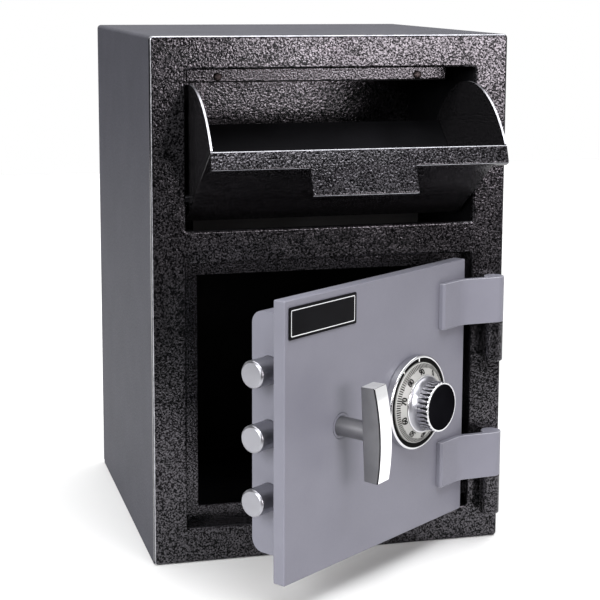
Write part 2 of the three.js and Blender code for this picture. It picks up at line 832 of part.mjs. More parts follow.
// The carriage that moves the three bolts, with the crank's slot and the tab that the lock bolt stops
function buildBolts(parent) {
  const heights = boltHeights();
  ["lower", "middle", "upper"].forEach((name, i) => {
    const profile = [
      [0, 0],
      [boltRadius - boltChamfer, 0],
      [boltRadius, boltChamfer],
      [boltRadius, boltBodyLength - seat],
      [boltNeckRadius, boltBodyLength - seat],
      [boltNeckRadius, boltBodyLength + boltNeckLength],
      [0, boltBodyLength + boltNeckLength],
    ];
    const points = profile.map(([r, along]) => new THREE.Vector2(r, along));
    const bolt = new THREE.LatheGeometry(points, fineSides).rotateZ(-Math.PI / 2);
    add(parent, "bolt_" + name, bolt.translate(boltTipX, boltY, heights[i]), "steel");
  });

  const carriageRight = carriageX + carriageThickness;
  const barTop = heights[2] + carriageEnd;
  const bar = box(
    carriageX,
    carriageRight,
    carriageFront,
    carriageFront + carriageDepth,
    heights[0] - carriageEnd,
    barTop,
  );
  const forkMiddle = (crankPinZ + boltworkHeight + crankOrbit) / 2;
  const forkBack = carriageFront + forkThickness;
  const fork = box(
    carriageX,
    carriageRight + forkLength,
    carriageFront,
    forkBack,
    forkMiddle - forkHeight / 2,
    forkMiddle + forkHeight / 2,
  );
  const slotHalf = crankPinRadius + crankPlay;
  const slot = box(
    crankPinX - slotHalf,
    crankPinX + slotHalf,
    carriageFront - overrun,
    forkBack + overrun,
    forkMiddle - forkHeight / 2 + forkWall,
    forkMiddle + forkHeight / 2 - forkWall,
  );
  const clearAtLock = (boltThrow - lockBoltWidth - catchWidth) / 2;
  const tabRight = dialX - lockBoltWidth / 2 - clearAtLock;
  const arm = box(carriageX, tabRight, carriageFront, forkBack, barTop - armHeight, barTop);
  const tab = box(
    tabRight - catchWidth,
    tabRight,
    carriageFront,
    forkBack,
    barTop - armHeight - catchHeight,
    barTop - armHeight / 2,
  );
  const necks = heights.map((z) =>
    rodX(boltNeckRadius + seat, carriageX - overrun, carriageRight + overrun, boltY, z, coarseSides),
  );
  add(parent, "bolt_carriage", cut(join(bar, fork, arm, tab), slot, ...necks), "zinc");
}

// The T handle, which leans a little to the left and turns the crank that draws the bolts
function buildHandle(parent) {
  const barBack = doorFace - handleStandoff;
  const half = handleBarLength / 2;
  const sideOutline = new THREE.Shape();
  const bowFront = barBack - handleBarDepth - handleBow;
  const endFront = barBack - handleBarDepth;
  sideOutline.moveTo(barBack, handleEndSlant - half);
  sideOutline.lineTo(barBack, half - handleEndSlant);
  sideOutline.lineTo(endFront, half);
  sideOutline.quadraticCurveTo(2 * bowFront - endFront, 0, endFront, -half);
  const bar = extrude(sideOutline, handleBarWidth, alongX, { curveSegments: 4 * cornerSteps });
  bar.translate(-handleBarWidth / 2, 0, 0).rotateY(-radians(handleLeanDegrees));
  const neckEnd = crankFront + crankThickness + seat + handleNutThickness + seat;
  const shaftStart = barBack - handleBarDepth / 2;
  const handle = join(
    bar.translate(handleX, 0, boltworkHeight),
    rodY(handleShaftRadius, shaftStart, crankFront - seat, handleX, boltworkHeight, fineSides),
    rodY(handleNeckRadius, barBack, neckEnd, handleX, boltworkHeight),
  );
  add(parent, "handle", handle, "satin");

  const crankBack = crankFront + crankThickness;
  const crank = cut(
    join(
      rodY(crankRadius, crankFront, crankBack, handleX, boltworkHeight, fineSides),
      rodY(crankPinRadius, crankFront, crankBack + crankPinLength, crankPinX, crankPinZ, coarseSides),
    ),
    rodY(handleNeckRadius + seat, crankFront - overrun, crankBack + overrun, handleX, boltworkHeight),
  );
  add(parent, "handle_crank", crank, "zinc");

  const nutFront = crankBack + seat;
  const nut = cut(
    rodY(handleNutRadius, nutFront, nutFront + handleNutThickness, handleX, boltworkHeight, 6),
    rodY(handleNeckRadius + seat, nutFront - overrun, nutFront + overrun, handleX, boltworkHeight),
  );
  add(parent, "handle_nut", nut, "zinc");
}

// The dial ring stays on the door; the dial, its knob and cap turn with the spindle and the drive cam
function buildDial(door, parent) {
  const rimInner = ringRadius - ringRimWidth;
  const ring = [
    [spindleRadius + 2 * seat, seat],
    [ringRadius, seat],
    [ringRadius, ringHeight - ringRound],
    [ringRadius - ringRound, ringHeight],
    [rimInner, ringHeight],
    [rimInner - ringStep, ringHeight - ringStep],
    [ringBoreRadius, ringHeight - ringStep],
    [ringBoreRadius, ringFloor],
    [spindleRadius + 2 * seat, ringFloor],
    [spindleRadius + 2 * seat, seat],
  ];
  add(door, "dial_ring", turnedY(ring, dialSides, dialX, boltworkHeight), "chrome");

  const bore = spindleRadius + seat;
  const disc = [
    [bore, ringFloor + seat],
    [dialRadius, ringFloor + seat],
    [dialRadius, dialRimHeight],
    [dialShoulderRadius, dialShoulderHeight],
    [bore, dialShoulderHeight],
    [bore, ringFloor + seat],
  ];
  add(parent, "dial_disc", turnedY(disc, dialSides, dialX, boltworkHeight), "dialSilver");

  const knobBase = dialShoulderHeight + seat;
  const capFloor = knobFrontHeight - capDepth;
  const knobProfile = [
    [bore, knobBase],
    [knobBaseRadius, knobBase],
    [knobBaseRadius, knobBase + knobFootHeight / 2],
    [knobBaseRadius - knobFootHeight / 2, knobBase + knobFootHeight],
    [knobFrontRadius, knobFrontHeight - knobRound],
    [knobFrontRadius - knobRound, knobFrontHeight],
    [capRadius + seat, knobFrontHeight],
    [capRadius + seat, capFloor],
    [bore, capFloor],
    [bore, knobBase],
  ];
  const flutes = [];
  for (let i = 0; i < fluteCount; i += 1) {
    flutes.push(flute((2 * Math.PI * i) / fluteCount, knobBase + knobFootHeight));
  }
  const knob = cut(turnedY(knobProfile, fluteCount * 2, dialX, boltworkHeight), ...flutes);
  add(parent, "dial_knob", knob, "chrome");

  const capBase = capFloor + seat;
  const capProfile = [
    [0, capBase],
    [capRadius, capBase],
    [capRadius, knobFrontHeight],
  ];
  for (let i = 1; i < cornerSteps; i += 1) {
    const share = i / cornerSteps;
    capProfile.push([capRadius * (1 - share), knobFrontHeight + capRise * Math.sqrt(1 - (1 - share) ** 2)]);
  }
  capProfile.push([0, knobFrontHeight + capRise]);
  add(parent, "dial_cap", turnedY(capProfile, fineSides, dialX, boltworkHeight), "blackPlastic");

  const camBack = camFront + camThickness;
  const spindleFront = doorFace - capFloor + seat;
  const spindle = rodY(spindleRadius, spindleFront, camBack + seat, dialX, boltworkHeight, coarseSides);
  add(parent, "dial_spindle", spindle, "brass");

  const cam = cut(
    rodY(camRadius, camFront, camBack, dialX, boltworkHeight, fineSides),
    rodY(spindleRadius + seat, camFront - overrun, camBack + overrun, dialX, boltworkHeight, coarseSides),
    gateAt(radians(-fenceDegrees), camRadius, camFront, camBack),
  );
  add(parent, "drive_cam", cam, "brass");
}

// One groove down the knob's skirt, at an angle round the dial
function flute(angle, start) {
  const run = knobFrontHeight - knobRound - start;
  const footRadius = knobBaseRadius - knobFootHeight / 2;
  const lean = Math.atan2(footRadius - knobFrontRadius, run);
  const groove = new THREE.CylinderGeometry(fluteRadius, fluteRadius, run, 4);
  groove.rotateZ(lean);
  groove.translate((footRadius + knobFrontRadius) / 2 + fluteStandoff, 0, 0);
  groove.rotateY(angle);
  groove.rotateZ(Math.PI);
  return groove.translate(dialX, doorFace - start - run / 2, boltworkHeight);
}

// The notch that a wheel or the cam has in its rim
function gateAt(angle, radius, y0, y1) {
  const half = gateWidth / 2;
  const notch = box(-half, half, y0 - overrun, y1 + overrun, radius - gateDepth, radius + overrun);
  return notch.rotateY(angle).translate(dialX, 0, boltworkHeight);
}

// The lock's case and cover, its wheel post and its wheels
function buildLock(door, wheelGroups) {
  const caseLeft = dialX - lockWidth / 2;
  const caseRight = caseLeft + lockWidth;
  const caseBottom = lockTop - lockHeight;
  const caseBack = inside + lockDepth;
  const outline = roundedRectangle(caseLeft, caseRight, caseBottom, lockTop, lockCornerRadius);
  const boltFront = inside + lockFloor + lockBoltSetback;
  const spindleHole = spindleRadius + 2 * seat;
  const lockCase = cut(
    plateY(outline, inside, caseBack),
    box(
      caseLeft + lockWall,
      caseRight - lockWall,
      lockInside,
      caseBack + overrun,
      caseBottom + lockWall,
      lockTop - lockWall,
    ),
    rodY(spindleHole, inside - overrun, lockInside + overrun, dialX, boltworkHeight, coarseSides),
    box(
      dialX - lockBoltWidth / 2 - seat,
      dialX + lockBoltWidth / 2 + seat,
      boltFront - seat,
      boltFront + lockBoltDepth + seat,
      lockTop - 2 * lockWall,
      lockTop + overrun,
    ),
  );
  add(door, "lock_case", lockCase, "zinc");

  const coverFront = caseBack + seat;
  add(door, "lock_cover", plateY(outline, coverFront, coverFront + lockCoverThickness), "zinc");

  const postBack = wheelsFront + (wheelCount - 1) * wheelPitch + wheelThickness + seat;
  const post = cut(
    rodY(wheelPostRadius, lockInside + seat, postBack, dialX, boltworkHeight),
    rodY(spindleHole, lockInside - overrun, postBack + overrun, dialX, boltworkHeight, coarseSides),
  );
  add(door, "wheel_post", post, "brass");

  wheelGroups.forEach((group, i) => {
    const wheelFront = wheelsFront + i * wheelPitch;
    const wheelBack = wheelFront + wheelThickness;
    const wheel = cut(
      rodY(wheelRadius, wheelFront, wheelBack, dialX, boltworkHeight, fineSides),
      rodY(wheelPostRadius + seat, wheelFront - overrun, wheelBack + overrun, dialX, boltworkHeight),
      gateAt((2 * Math.PI * (i + 1)) / (wheelCount + 2), wheelRadius, wheelFront, wheelBack),
    );
    add(group, "lock_wheel_" + (i + 1), wheel, "brass");
  });
}

// The (x, z) point at a distance and a clockwise angle from the top of the dial
function aroundDial(distance, angle) {
  return [dialX + distance * Math.sin(angle), boltworkHeight + distance * Math.cos(angle)];
}

// The lock's own bolt, with the lever that rides on it
function buildLockBolt(parent) {
  const boltFront = inside + lockFloor + lockBoltSetback;
  const boltBack = boltFront + lockBoltDepth;
  const boltTop = lockTop - seat;
  const pivotZ = lockTop - leverPivotDrop;
  const leverFront = camFront + seat;
  const leverBack = leverFront + leverThickness;
  const lockBolt = join(
    box(
      dialX - lockBoltWidth / 2,
      dialX + lockBoltWidth / 2,
      boltFront,
      boltBack,
      boltTop - lockBoltHeight,
      boltTop,
    ),
    rodY(leverPivotRadius, boltBack - seat, leverBack + seat, dialX, pivotZ, coarseSides),
  );
  add(parent, "lock_bolt", lockBolt, "brass");

  const fence = aroundDial(wheelRadius + fenceClearance + fenceRadius, radians(fenceDegrees));
  const nose = aroundDial(camRadius + seat + noseRadius, radians(noseDegrees));
  const pivot = [dialX, pivotZ];
  const elbow = [(pivot[0] + fence[0]) / 2, (pivot[1] + fence[1]) / 2];
  const pivotBore = leverPivotRadius + seat;
  const lever = cut(
    join(
      capsuleY(leverHalfWidth, pivot, fence, leverFront, leverBack),
      capsuleY(noseRadius, elbow, nose, leverFront, leverBack),
      rodY(fenceRadius, wheelsFront, leverBack, fence[0], fence[1], coarseSides),
    ),
    rodY(pivotBore, leverFront - overrun, leverBack + overrun, dialX, pivotZ, coarseSides),
  );
  add(parent, "lock_lever", lever, "brass");
}

// The tilt-out hopper, drawn closed
function buildHopper(parent) {
  const half = hopperWidth / 2;
  const sheetHalf = hopperSheetThickness / 2;
  const innerHalf = half - hopperSheetThickness - seat;
  const droop = radians(lipDroopDegrees);
  const lipUnder = hopperSheetThickness * (Math.cos(droop) + (1 + Math.sin(droop)) * Math.tan(droop));
  const panelTop = apexZ + hopperRadius - lipUnder - seat;
  const panelBottom = hopperSill + hopperSillGap;
  const panel = box(-half, half, panelY - sheetHalf, panelY + sheetHalf, panelBottom, panelTop);
  add(parent, "hopper_panel", panel, "hammerPaint");

  const lip = join(
    barX(lipOutline(lipLength, lipFlangeHeight), -half, seat - pullTabWidth / 2),
    barX(lipOutline(lipLength, lipFlangeHeight), pullTabWidth / 2 - seat, half),
    barX(lipOutline(pullTabLength, pullTabFlangeHeight), -pullTabWidth / 2, pullTabWidth / 2),
  );
  add(parent, "hopper_lip", lip, "hammerPaint");

  const tray = box(-innerHalf, innerHalf, trayFrontGap, trayLength, -hopperSheetThickness, 0);
  tray.rotateX(-radians(trayDegrees)).translate(0, panelY, apexZ);
  add(parent, "hopper_tray", tray, "chutePaint");

  const lugAngle = radians(stopLugClosedDegrees);
  const lugY = hopperPivotY + stopPinOrbit * Math.cos(lugAngle);
  const lugZ = hopperPivotZ + stopPinOrbit * Math.sin(lugAngle);
  const side = cut(
    join(
      barX(sideOutline(), half - hopperSheetThickness, half),
      rodX(earRadius, half - hopperSheetThickness, half, hopperPivotY, hopperPivotZ, fineSides),
      rodX(stopPinRadius, half - hopperSheetThickness, half + stopLugLength, lugY, lugZ, coarseSides),
    ),
    rodX(hopperPinRadius + seat, half - overrun, half + overrun, hopperPivotY, hopperPivotZ),
  );
  add(parent, "hopper_side_right", side, "hammerPaint");
  add(parent, "hopper_side_left", onSide(-1, side), "hammerPaint");
}

// A side plate of the hopper: a sector behind the panel, down to just under the tray
function sideOutline() {
  const start = hopperSheetThickness / 2 + seat;
  const under = hopperSheetThickness + seat;
  const startAngle = Math.acos(start / hopperRadius);
  const endAngle = -radians(trayDegrees) - Math.asin(under / hopperRadius);
  const shape = new THREE.Shape();
  shape.moveTo(panelY + start, apexZ - under);
  for (let i = 0; i <= roundSides; i += 1) {
    const angle = endAngle + ((startAngle - endAngle) * i) / roundSides;
    shape.lineTo(panelY + hopperRadius * Math.cos(angle), apexZ + hopperRadius * Math.sin(angle));
  }
  return shape;
}

// The pull lip seen from the side: forwards from the panel's top edge, then turned back under itself
function lipOutline(length, turn) {
  const droop = radians(lipDroopDegrees);
  const place = ([along, down]) => [
    panelY + hopperSheetThickness / 2 - along * Math.cos(droop) + down * Math.sin(droop),
    apexZ + hopperRadius - along * Math.sin(droop) - down * Math.cos(droop),
  ];
  const t = hopperSheetThickness;
  const corners = [
    [seat, 0],
    [seat, t],
    [length - t, t],
    [length - t, turn],
    [length, turn],
    [length, 0],
  ];
  return polygon(corners.map(place));
}

// Assembly
const safe = new THREE.Group();
buildBody(safe);
buildFront(safe);
buildChute(safe);
buildHeader(safe);

const doorPivot = new THREE.Group();
doorPivot.position.set(hingeX, hingeY, 0);
doorPivot.rotation.z = radians(doorOpenDegrees);
safe.add(doorPivot);
const door = new THREE.Group();
door.position.set(-hingeX, -hingeY, 0);
doorPivot.add(door);
buildHinges(safe, door);
buildDoorShell(door);
buildBoltHousing(door);

const bolts = new THREE.Group();
const handle = new THREE.Group();
const dial = new THREE.Group();
const lockBolt = new THREE.Group();
const wheels = Array.from({ length: wheelCount }, () => new THREE.Group());
door.add(bolts, handle, dial, lockBolt, ...wheels);
buildBolts(bolts);
buildHandle(handle);
buildDial(door, dial);
buildLock(door, wheels);
buildLockBolt(lockBolt);

const hopperPivot = new THREE.Group();
hopperPivot.position.set(0, hopperPivotY, hopperPivotZ);
hopperPivot.rotation.x = radians(hopperOpenDegrees);
safe.add(hopperPivot);
const hopper = new THREE.Group();
hopper.position.set(0, -hopperPivotY, -hopperPivotZ);
hopperPivot.add(hopper);
buildHopper(hopper);

export default safe;
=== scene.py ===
"""Looks for the drop safe: a camera, a studio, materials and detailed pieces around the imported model.

Shapes are drawn in millimetres, and the scene is in metres. +X is right, +Y goes into the safe and +Z is up.
The door and the hopper are drawn shut, and then turned to where they stand at rest.
"""
import json
import math

import bmesh
import bpy
from mathutils import Matrix, Vector


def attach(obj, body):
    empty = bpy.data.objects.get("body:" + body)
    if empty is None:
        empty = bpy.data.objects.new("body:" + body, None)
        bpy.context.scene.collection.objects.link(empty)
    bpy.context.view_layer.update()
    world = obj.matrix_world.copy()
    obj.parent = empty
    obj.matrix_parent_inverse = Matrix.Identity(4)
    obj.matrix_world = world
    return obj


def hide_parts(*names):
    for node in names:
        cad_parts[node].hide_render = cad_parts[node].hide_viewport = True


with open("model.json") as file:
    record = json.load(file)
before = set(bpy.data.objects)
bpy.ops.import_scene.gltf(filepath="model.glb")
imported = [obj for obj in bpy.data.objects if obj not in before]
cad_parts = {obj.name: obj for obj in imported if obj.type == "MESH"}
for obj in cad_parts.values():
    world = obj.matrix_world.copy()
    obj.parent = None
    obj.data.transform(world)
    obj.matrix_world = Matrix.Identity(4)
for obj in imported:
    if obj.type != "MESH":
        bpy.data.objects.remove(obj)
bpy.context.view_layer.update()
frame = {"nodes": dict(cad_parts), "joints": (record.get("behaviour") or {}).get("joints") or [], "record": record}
nodes = frame["nodes"]
joints = {joint["name"]: joint for joint in frame["joints"]}
scene = bpy.context.scene
MM = 0.001


def turn(degrees, axis):
    return Matrix.Rotation(math.radians(degrees), 4, axis)


# Camera, in metres and degrees
EYE = (-0.4273, -1.6605, 0.5671)
HEADING = -14.9
DIP = 8.84
ROLL = 0.23
SENSOR_WIDTH = 36
LENS = 96.276
SHIFT = -0.12
FARTHEST = 50

camera_data = bpy.data.cameras.new("camera")
camera = bpy.data.objects.new("camera", camera_data)
scene.collection.objects.link(camera)
camera_data.sensor_width = SENSOR_WIDTH
camera_data.lens = LENS
camera_data.shift_y = SHIFT
camera_data.clip_end = FARTHEST
camera.matrix_world = Matrix.Translation(EYE) @ turn(HEADING, "Z") @ turn(90 - DIP, "X") @ turn(ROLL, "Z")
scene.camera = camera


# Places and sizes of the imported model
def swung(name):
    """The turn about a hinge that takes its body from shut to where it stands at rest."""
    joint = joints[name]
    place = Matrix.Translation(joint["pos_m"])
    return place @ turn(-joint["range_deg"][0], Vector(joint["axis"])) @ place.inverted()


def limits(name, pose=Matrix()):
    """A node's lowest and highest x, y and z in millimetres, turned back from its pose."""
    back = pose.inverted() @ nodes[name].matrix_world
    points = [back @ vertex.co / MM for vertex in nodes[name].data.vertices]
    return [(round(min(axis), 3), round(max(axis), 3)) for axis in zip(*points)]


def middle(name, pose=Matrix()):
    return [(low + high) / 2 for low, high in limits(name, pose)]


DOOR_POSE = swung("door_swing")
HOPPER_POSE = swung("hopper_tilt")
HINGE = [place / MM for place in joints["door_swing"]["pos_m"][:2]]
PIVOT = [place / MM for place in joints["hopper_tilt"]["pos_m"][1:]]

frame_x, frame_y, frame_z = limits("front_frame")
HALF = frame_x[1]
FRONT = frame_y[0]
HEIGHT = frame_z[1]
BACK = limits("back_panel")[1][1]
DOOR_X, DOOR_Y, DOOR_Z = limits("door_plate", DOOR_POSE)
DOOR_FACE, DOOR_BACK = DOOR_Y
PAN_X, PAN_Y, PAN_Z = limits("bolt_housing", DOOR_POSE)
INSIDE, PAN_BACK = PAN_Y
HANDLE_X, WORK_Z = middle("handle_bushing", DOOR_POSE)[::2]
DIAL_X = middle("dial_ring", DOOR_POSE)[0]

SIDE_BAR = 33
BOTTOM_BAR = 35
CROSS_BAR = 31.5
TOP_BAR = 32
DOOR_TOP_GAP = 4
OPENING_X = (SIDE_BAR - HALF, HALF - SIDE_BAR)
DOOR_HOLE = (BOTTOM_BAR, DOOR_Z[1] + DOOR_TOP_GAP)
HOPPER_HOLE = (DOOR_HOLE[1] + CROSS_BAR, HEIGHT - TOP_BAR)

# Fits: the seat between fastened pieces, a face's tolerance, a small overlap and how far a cut overruns
SEAT = 0.3
NEAR = 0.5
LAP = 0.2
PAST = 5

# How a shape drawn flat on X and Y, with its thickness along Z, is set across each axis
PLANES = {
    "X": Matrix(((0, 0, 1, 0), (1, 0, 0, 0), (0, 1, 0, 0), (0, 0, 0, 1))),
    "Y": Matrix(((1, 0, 0, 0), (0, 0, -1, 0), (0, 1, 0, 0), (0, 0, 0, 1))),
    "Z": Matrix.Identity(4),
}


# Outlines, as lists of (u, v) points
def arc(cx, cy, radius, start, end, steps):
    turns = [math.radians(start + (end - start) * i / steps) for i in range(steps + 1)]
    return [(cx + radius * math.cos(a), cy + radius * math.sin(a)) for a in turns]


def rounded(x0, x1, y0, y1, radius, steps=8):
    corners = ((x1, y0, -90), (x1, y1, 0), (x0, y1, 90), (x0, y0, 180))
    points = []
    for x, y, start in corners:
        cx = x - radius if x == x1 else x + radius
        cy = y - radius if y == y1 else y + radius
        points += arc(cx, cy, radius, start, start + 90, steps)
    return points


def within(x, z, inset, radius, steps=8):
    """A rounded rectangle inside two pairs of limits, or around them where the inset is negative."""
    return rounded(x[0] + inset, x[1] - inset, z[0] + inset, z[1] - inset, radius, steps)


def circle(x, y, radius, steps=48):
    return arc(x, y, radius, 0, 360, steps)[:-1]


# Meshes in metres, and how near two of their points count as one
WELD = 1e-6


def evaluated(made):
    mesh = bpy.data.meshes.new_from_object(made.evaluated_get(bpy.context.evaluated_depsgraph_get()))
    data = made.data
    bpy.data.objects.remove(made)
    if isinstance(data, bpy.types.Mesh):
        bpy.data.meshes.remove(data)
    else:
        bpy.data.curves.remove(data)
    return mesh


def linked(data):
    made = bpy.data.objects.new("work", data)
    scene.collection.objects.link(made)
    return made


def plate(plane, outline, low, high, edge=0.0, holes=(), steps=3):
    """A flat piece across an axis with rounded edges, from low to high along that axis."""
    curve = bpy.data.curves.new("work", "CURVE")
    curve.dimensions = "2D"
    curve.fill_mode = "BOTH"
    curve.extrude = ((high - low) / 2 - edge) * MM
    curve.bevel_depth = edge * MM
    curve.bevel_resolution = steps
    curve.offset = -edge * MM
    for loop in (outline, *holes):
        spline = curve.splines.new("POLY")
        spline.points.add(len(loop) - 1)
        for point, (u, v) in zip(spline.points, loop):
            point.co = (u * MM, v * MM, 0, 1)
        spline.use_cyclic_u = True
    mesh = evaluated(linked(curve))
    centre = (low + high) / 2 * (-1 if plane == "Y" else 1)
    mesh.transform(PLANES[plane] @ Matrix.Translation((0, 0, centre * MM)))
    return mesh


def flat_back(mesh, co, normal):
    """Cuts off what lies past a plane and closes the cut."""
    work = bmesh.new()
    work.from_mesh(mesh)
    bmesh.ops.remove_doubles(work, verts=work.verts, dist=1e-7)
    whole = list(work.verts) + list(work.edges) + list(work.faces)
    cut = bmesh.ops.bisect_plane(
        work, geom=whole, plane_co=Vector(co) * MM, plane_no=normal, clear_outer=True
    )["geom_cut"]
    edges = [e for e in cut if isinstance(e, bmesh.types.BMEdge)]
    bmesh.ops.triangle_fill(work, edges=edges, use_beauty=True)
    bmesh.ops.recalc_face_normals(work, faces=work.faces)
    work.to_mesh(mesh)
    work.free()
    return mesh


def turned(profile, steps=96, tints=None, ripple=None):
    """A turned piece about Z from (radius, height) points.

    tints gives each band its material, and ripple(i, angle) changes the radius of ring i.
    """
    verts, rings, faces, marks = [], [], [], []
    for i, (radius, height) in enumerate(profile):
        if radius == 0:
            rings.append([len(verts)])
            verts.append((0, 0, height * MM))
            continue
        ring = []
        for k in range(steps):
            a = 2 * math.pi * k / steps
            r = radius + (ripple(i, a) if ripple else 0)
            ring.append(len(verts))
            verts.append((r * math.cos(a) * MM, r * math.sin(a) * MM, height * MM))
        rings.append(ring)
    for i in range(len(rings) - 1):
        low, high = rings[i], rings[i + 1]
        for k in range(steps):
            n = (k + 1) % steps
            if len(low) == 1:
                faces.append((low[0], high[k], high[n]))
            elif len(high) == 1:
                faces.append((low[k], low[n], high[0]))
            else:
                faces.append((low[k], low[n], high[n], high[k]))
            marks.append(tints[i] if tints else 0)
    mesh = bpy.data.meshes.new("work")
    mesh.from_pydata(verts, [], faces)
    mesh.polygons.foreach_set("material_index", marks)
    work = bmesh.new()
    work.from_mesh(mesh)
    bmesh.ops.remove_doubles(work, verts=work.verts, dist=1e-8)
    bmesh.ops.recalc_face_normals(work, faces=work.faces)
    work.to_mesh(mesh)
    work.free()
    return mesh


def mark(mesh, index, test):
    """Gives a material index to the faces whose centre (mm) and normal pass a test."""
    for polygon in mesh.polygons:
        if test(polygon.center / MM, polygon.normal):
            polygon.material_index = index
    return mesh


def everywhere(co, no):
    return True


def moved(x, y, z):
    return Matrix.Translation(Vector((x, y, z)) * MM)


def set_at(mesh, plane, x, y, z):
    mesh.transform(moved(x, y, z) @ PLANES[plane])
    return mesh


def merged(*meshes):
    work = bmesh.new()
    for mesh in meshes:
        work.from_mesh(mesh)
    made = bpy.data.meshes.new("work")
    work.to_mesh(made)
    work.free()
    return made


def solid(base, joins=(), cuts=(), edge=0.0, steps=2, angle=40):
    """Joins and cuts closed meshes, then rounds the sharp edges."""
    made = linked(base)
    tools = []
    for tool, kind in [(m, "UNION") for m in joins] + [(m, "DIFFERENCE") for m in cuts]:
        other = linked(tool)
        tools.append(other)
        step = made.modifiers.new("step", "BOOLEAN")
        step.operation = kind
        step.solver = "EXACT"
        step.object = other
    weld = made.modifiers.new("weld", "WELD")
    weld.merge_threshold = WELD
    if edge:
        bevel = made.modifiers.new("edge", "BEVEL")
        bevel.width = edge * MM
        bevel.segments = steps
        bevel.limit_method = "ANGLE"
        bevel.angle_limit = math.radians(angle)
        bevel.miter_outer = "MITER_ARC"
    mesh = evaluated(made)
    for other in tools:
        data = other.data
        bpy.data.objects.remove(other)
        bpy.data.meshes.remove(data)
    return mesh


def piece(name, mesh, body, slot, materials, *hidden, pose=None, sharp=35, weighted=True):
    """Puts a finished mesh in the scene as a piece that rides on a body and hides nodes of the model."""
    mesh.name = name
    if pose:
        mesh.transform(pose)
    made = bpy.data.objects.new(name, mesh)
    scene.collection.objects.link(made)
    marks = [polygon.material_index for polygon in mesh.polygons]
    mesh.materials.clear()
    for material in materials:
        mesh.materials.append(material)
    mesh.polygons.foreach_set("material_index", marks)
    mesh.polygons.foreach_set("use_smooth", [True] * len(mesh.polygons))
    mesh.set_sharp_from_angle(angle=math.radians(sharp))
    if weighted:
        normals = made.modifiers.new("normals", "WEIGHTED_NORMAL")
        normals.keep_sharp = True
        normals.weight = 80
    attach(made, body)
    if hidden:
        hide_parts(*hidden)
    return made


# Materials: scales are in cells per metre, and depths in millimetres
def surface(name, color, roughness, metallic=0.0, specular=0.5):
    made = bpy.data.materials.new(name)
    made.use_nodes = True
    shader = made.node_tree.nodes["Principled BSDF"]
    shader.inputs["Base Color"].default_value = (*color, 1)
    shader.inputs["Roughness"].default_value = roughness
    shader.inputs["Metallic"].default_value = metallic
    shader.inputs["Specular IOR Level"].default_value = specular
    return made, made.node_tree, shader


def placed(tree, stretch=(1, 1, 1)):
    place = tree.nodes.new("ShaderNodeTexCoord")
    mapping = tree.nodes.new("ShaderNodeMapping")
    mapping.inputs["Scale"].default_value = stretch
    tree.links.new(place.outputs["Object"], mapping.inputs["Vector"])
    return mapping.outputs["Vector"]


def noise(tree, scale, detail=2.0, rough=0.5, stretch=(1, 1, 1)):
    texture = tree.nodes.new("ShaderNodeTexNoise")
    texture.inputs["Scale"].default_value = scale
    texture.inputs["Detail"].default_value = detail
    texture.inputs["Roughness"].default_value = rough
    tree.links.new(placed(tree, stretch), texture.inputs["Vector"])
    return texture.outputs["Fac"]


def cells(tree, scale, smooth=0.6):
    texture = tree.nodes.new("ShaderNodeTexVoronoi")
    texture.feature = "SMOOTH_F1"
    texture.inputs["Scale"].default_value = scale
    texture.inputs["Smoothness"].default_value = smooth
    tree.links.new(placed(tree), texture.inputs["Vector"])
    return texture.outputs["Distance"]


def ramp(tree, value, low, high, start=0.3, end=0.7):
    made = tree.nodes.new("ShaderNodeValToRGB")
    made.color_ramp.elements[0].position = start
    made.color_ramp.elements[0].color = (*low, 1)
    made.color_ramp.elements[1].position = end
    made.color_ramp.elements[1].color = (*high, 1)
    tree.links.new(value, made.inputs["Fac"])
    return made.outputs["Color"]


def spread(tree, value, low, high, start=0.3, end=0.7):
    made = tree.nodes.new("ShaderNodeMapRange")
    made.inputs["From Min"].default_value = start
    made.inputs["From Max"].default_value = end
    made.inputs["To Min"].default_value = low
    made.inputs["To Max"].default_value = high
    tree.links.new(value, made.inputs["Value"])
    return made.outputs["Result"]


def relief(tree, shader, *layers):
    """Stacks bumps of (height, depth, strength) on a shader's normal."""
    normal = None
    for height, depth, strength in layers:
        bump = tree.nodes.new("ShaderNodeBump")
        bump.inputs["Distance"].default_value = depth * MM
        bump.inputs["Strength"].default_value = strength
        tree.links.new(height, bump.inputs["Height"])
        if normal:
            tree.links.new(normal, bump.inputs["Normal"])
        normal = bump.outputs["Normal"]
    tree.links.new(normal, shader.inputs["Normal"])


def painted(name, dark, light, roughness, specular, grain, depth):
    """Sprayed paint: slow changes of shade and a fine grain."""
    made, tree, shader = surface(name, light, roughness, 0.0, specular)
    shade = noise(tree, scale=22, detail=3)
    tree.links.new(ramp(tree, shade, dark, light), shader.inputs["Base Color"])
    gloss = spread(tree, noise(tree, grain * 0.6), low=roughness - 0.05, high=roughness + 0.06)
    tree.links.new(gloss, shader.inputs["Roughness"])
    relief(tree, shader, (noise(tree, grain, detail=2.5, rough=0.55), depth, 1.0))
    return made


def hammertone(name, dark, light, roughness, metallic, cell, depth):
    """Hammered paint: round dimples under a flake whose spots are bright or dark."""
    made, tree, shader = surface(name, light, roughness, metallic, specular=0.3)
    dimples = cells(tree, cell)
    flake = noise(tree, cell * 1.6, detail=1.5)
    tree.links.new(ramp(tree, flake, dark, light, start=0.42, end=0.64), shader.inputs["Base Color"])
    gloss = spread(tree, noise(tree, scale=40), low=roughness - 0.03, high=roughness + 0.04)
    tree.links.new(gloss, shader.inputs["Roughness"])
    relief(tree, shader, (flake, depth, 1.0), (dimples, depth * 0.8, 1.0))
    return made


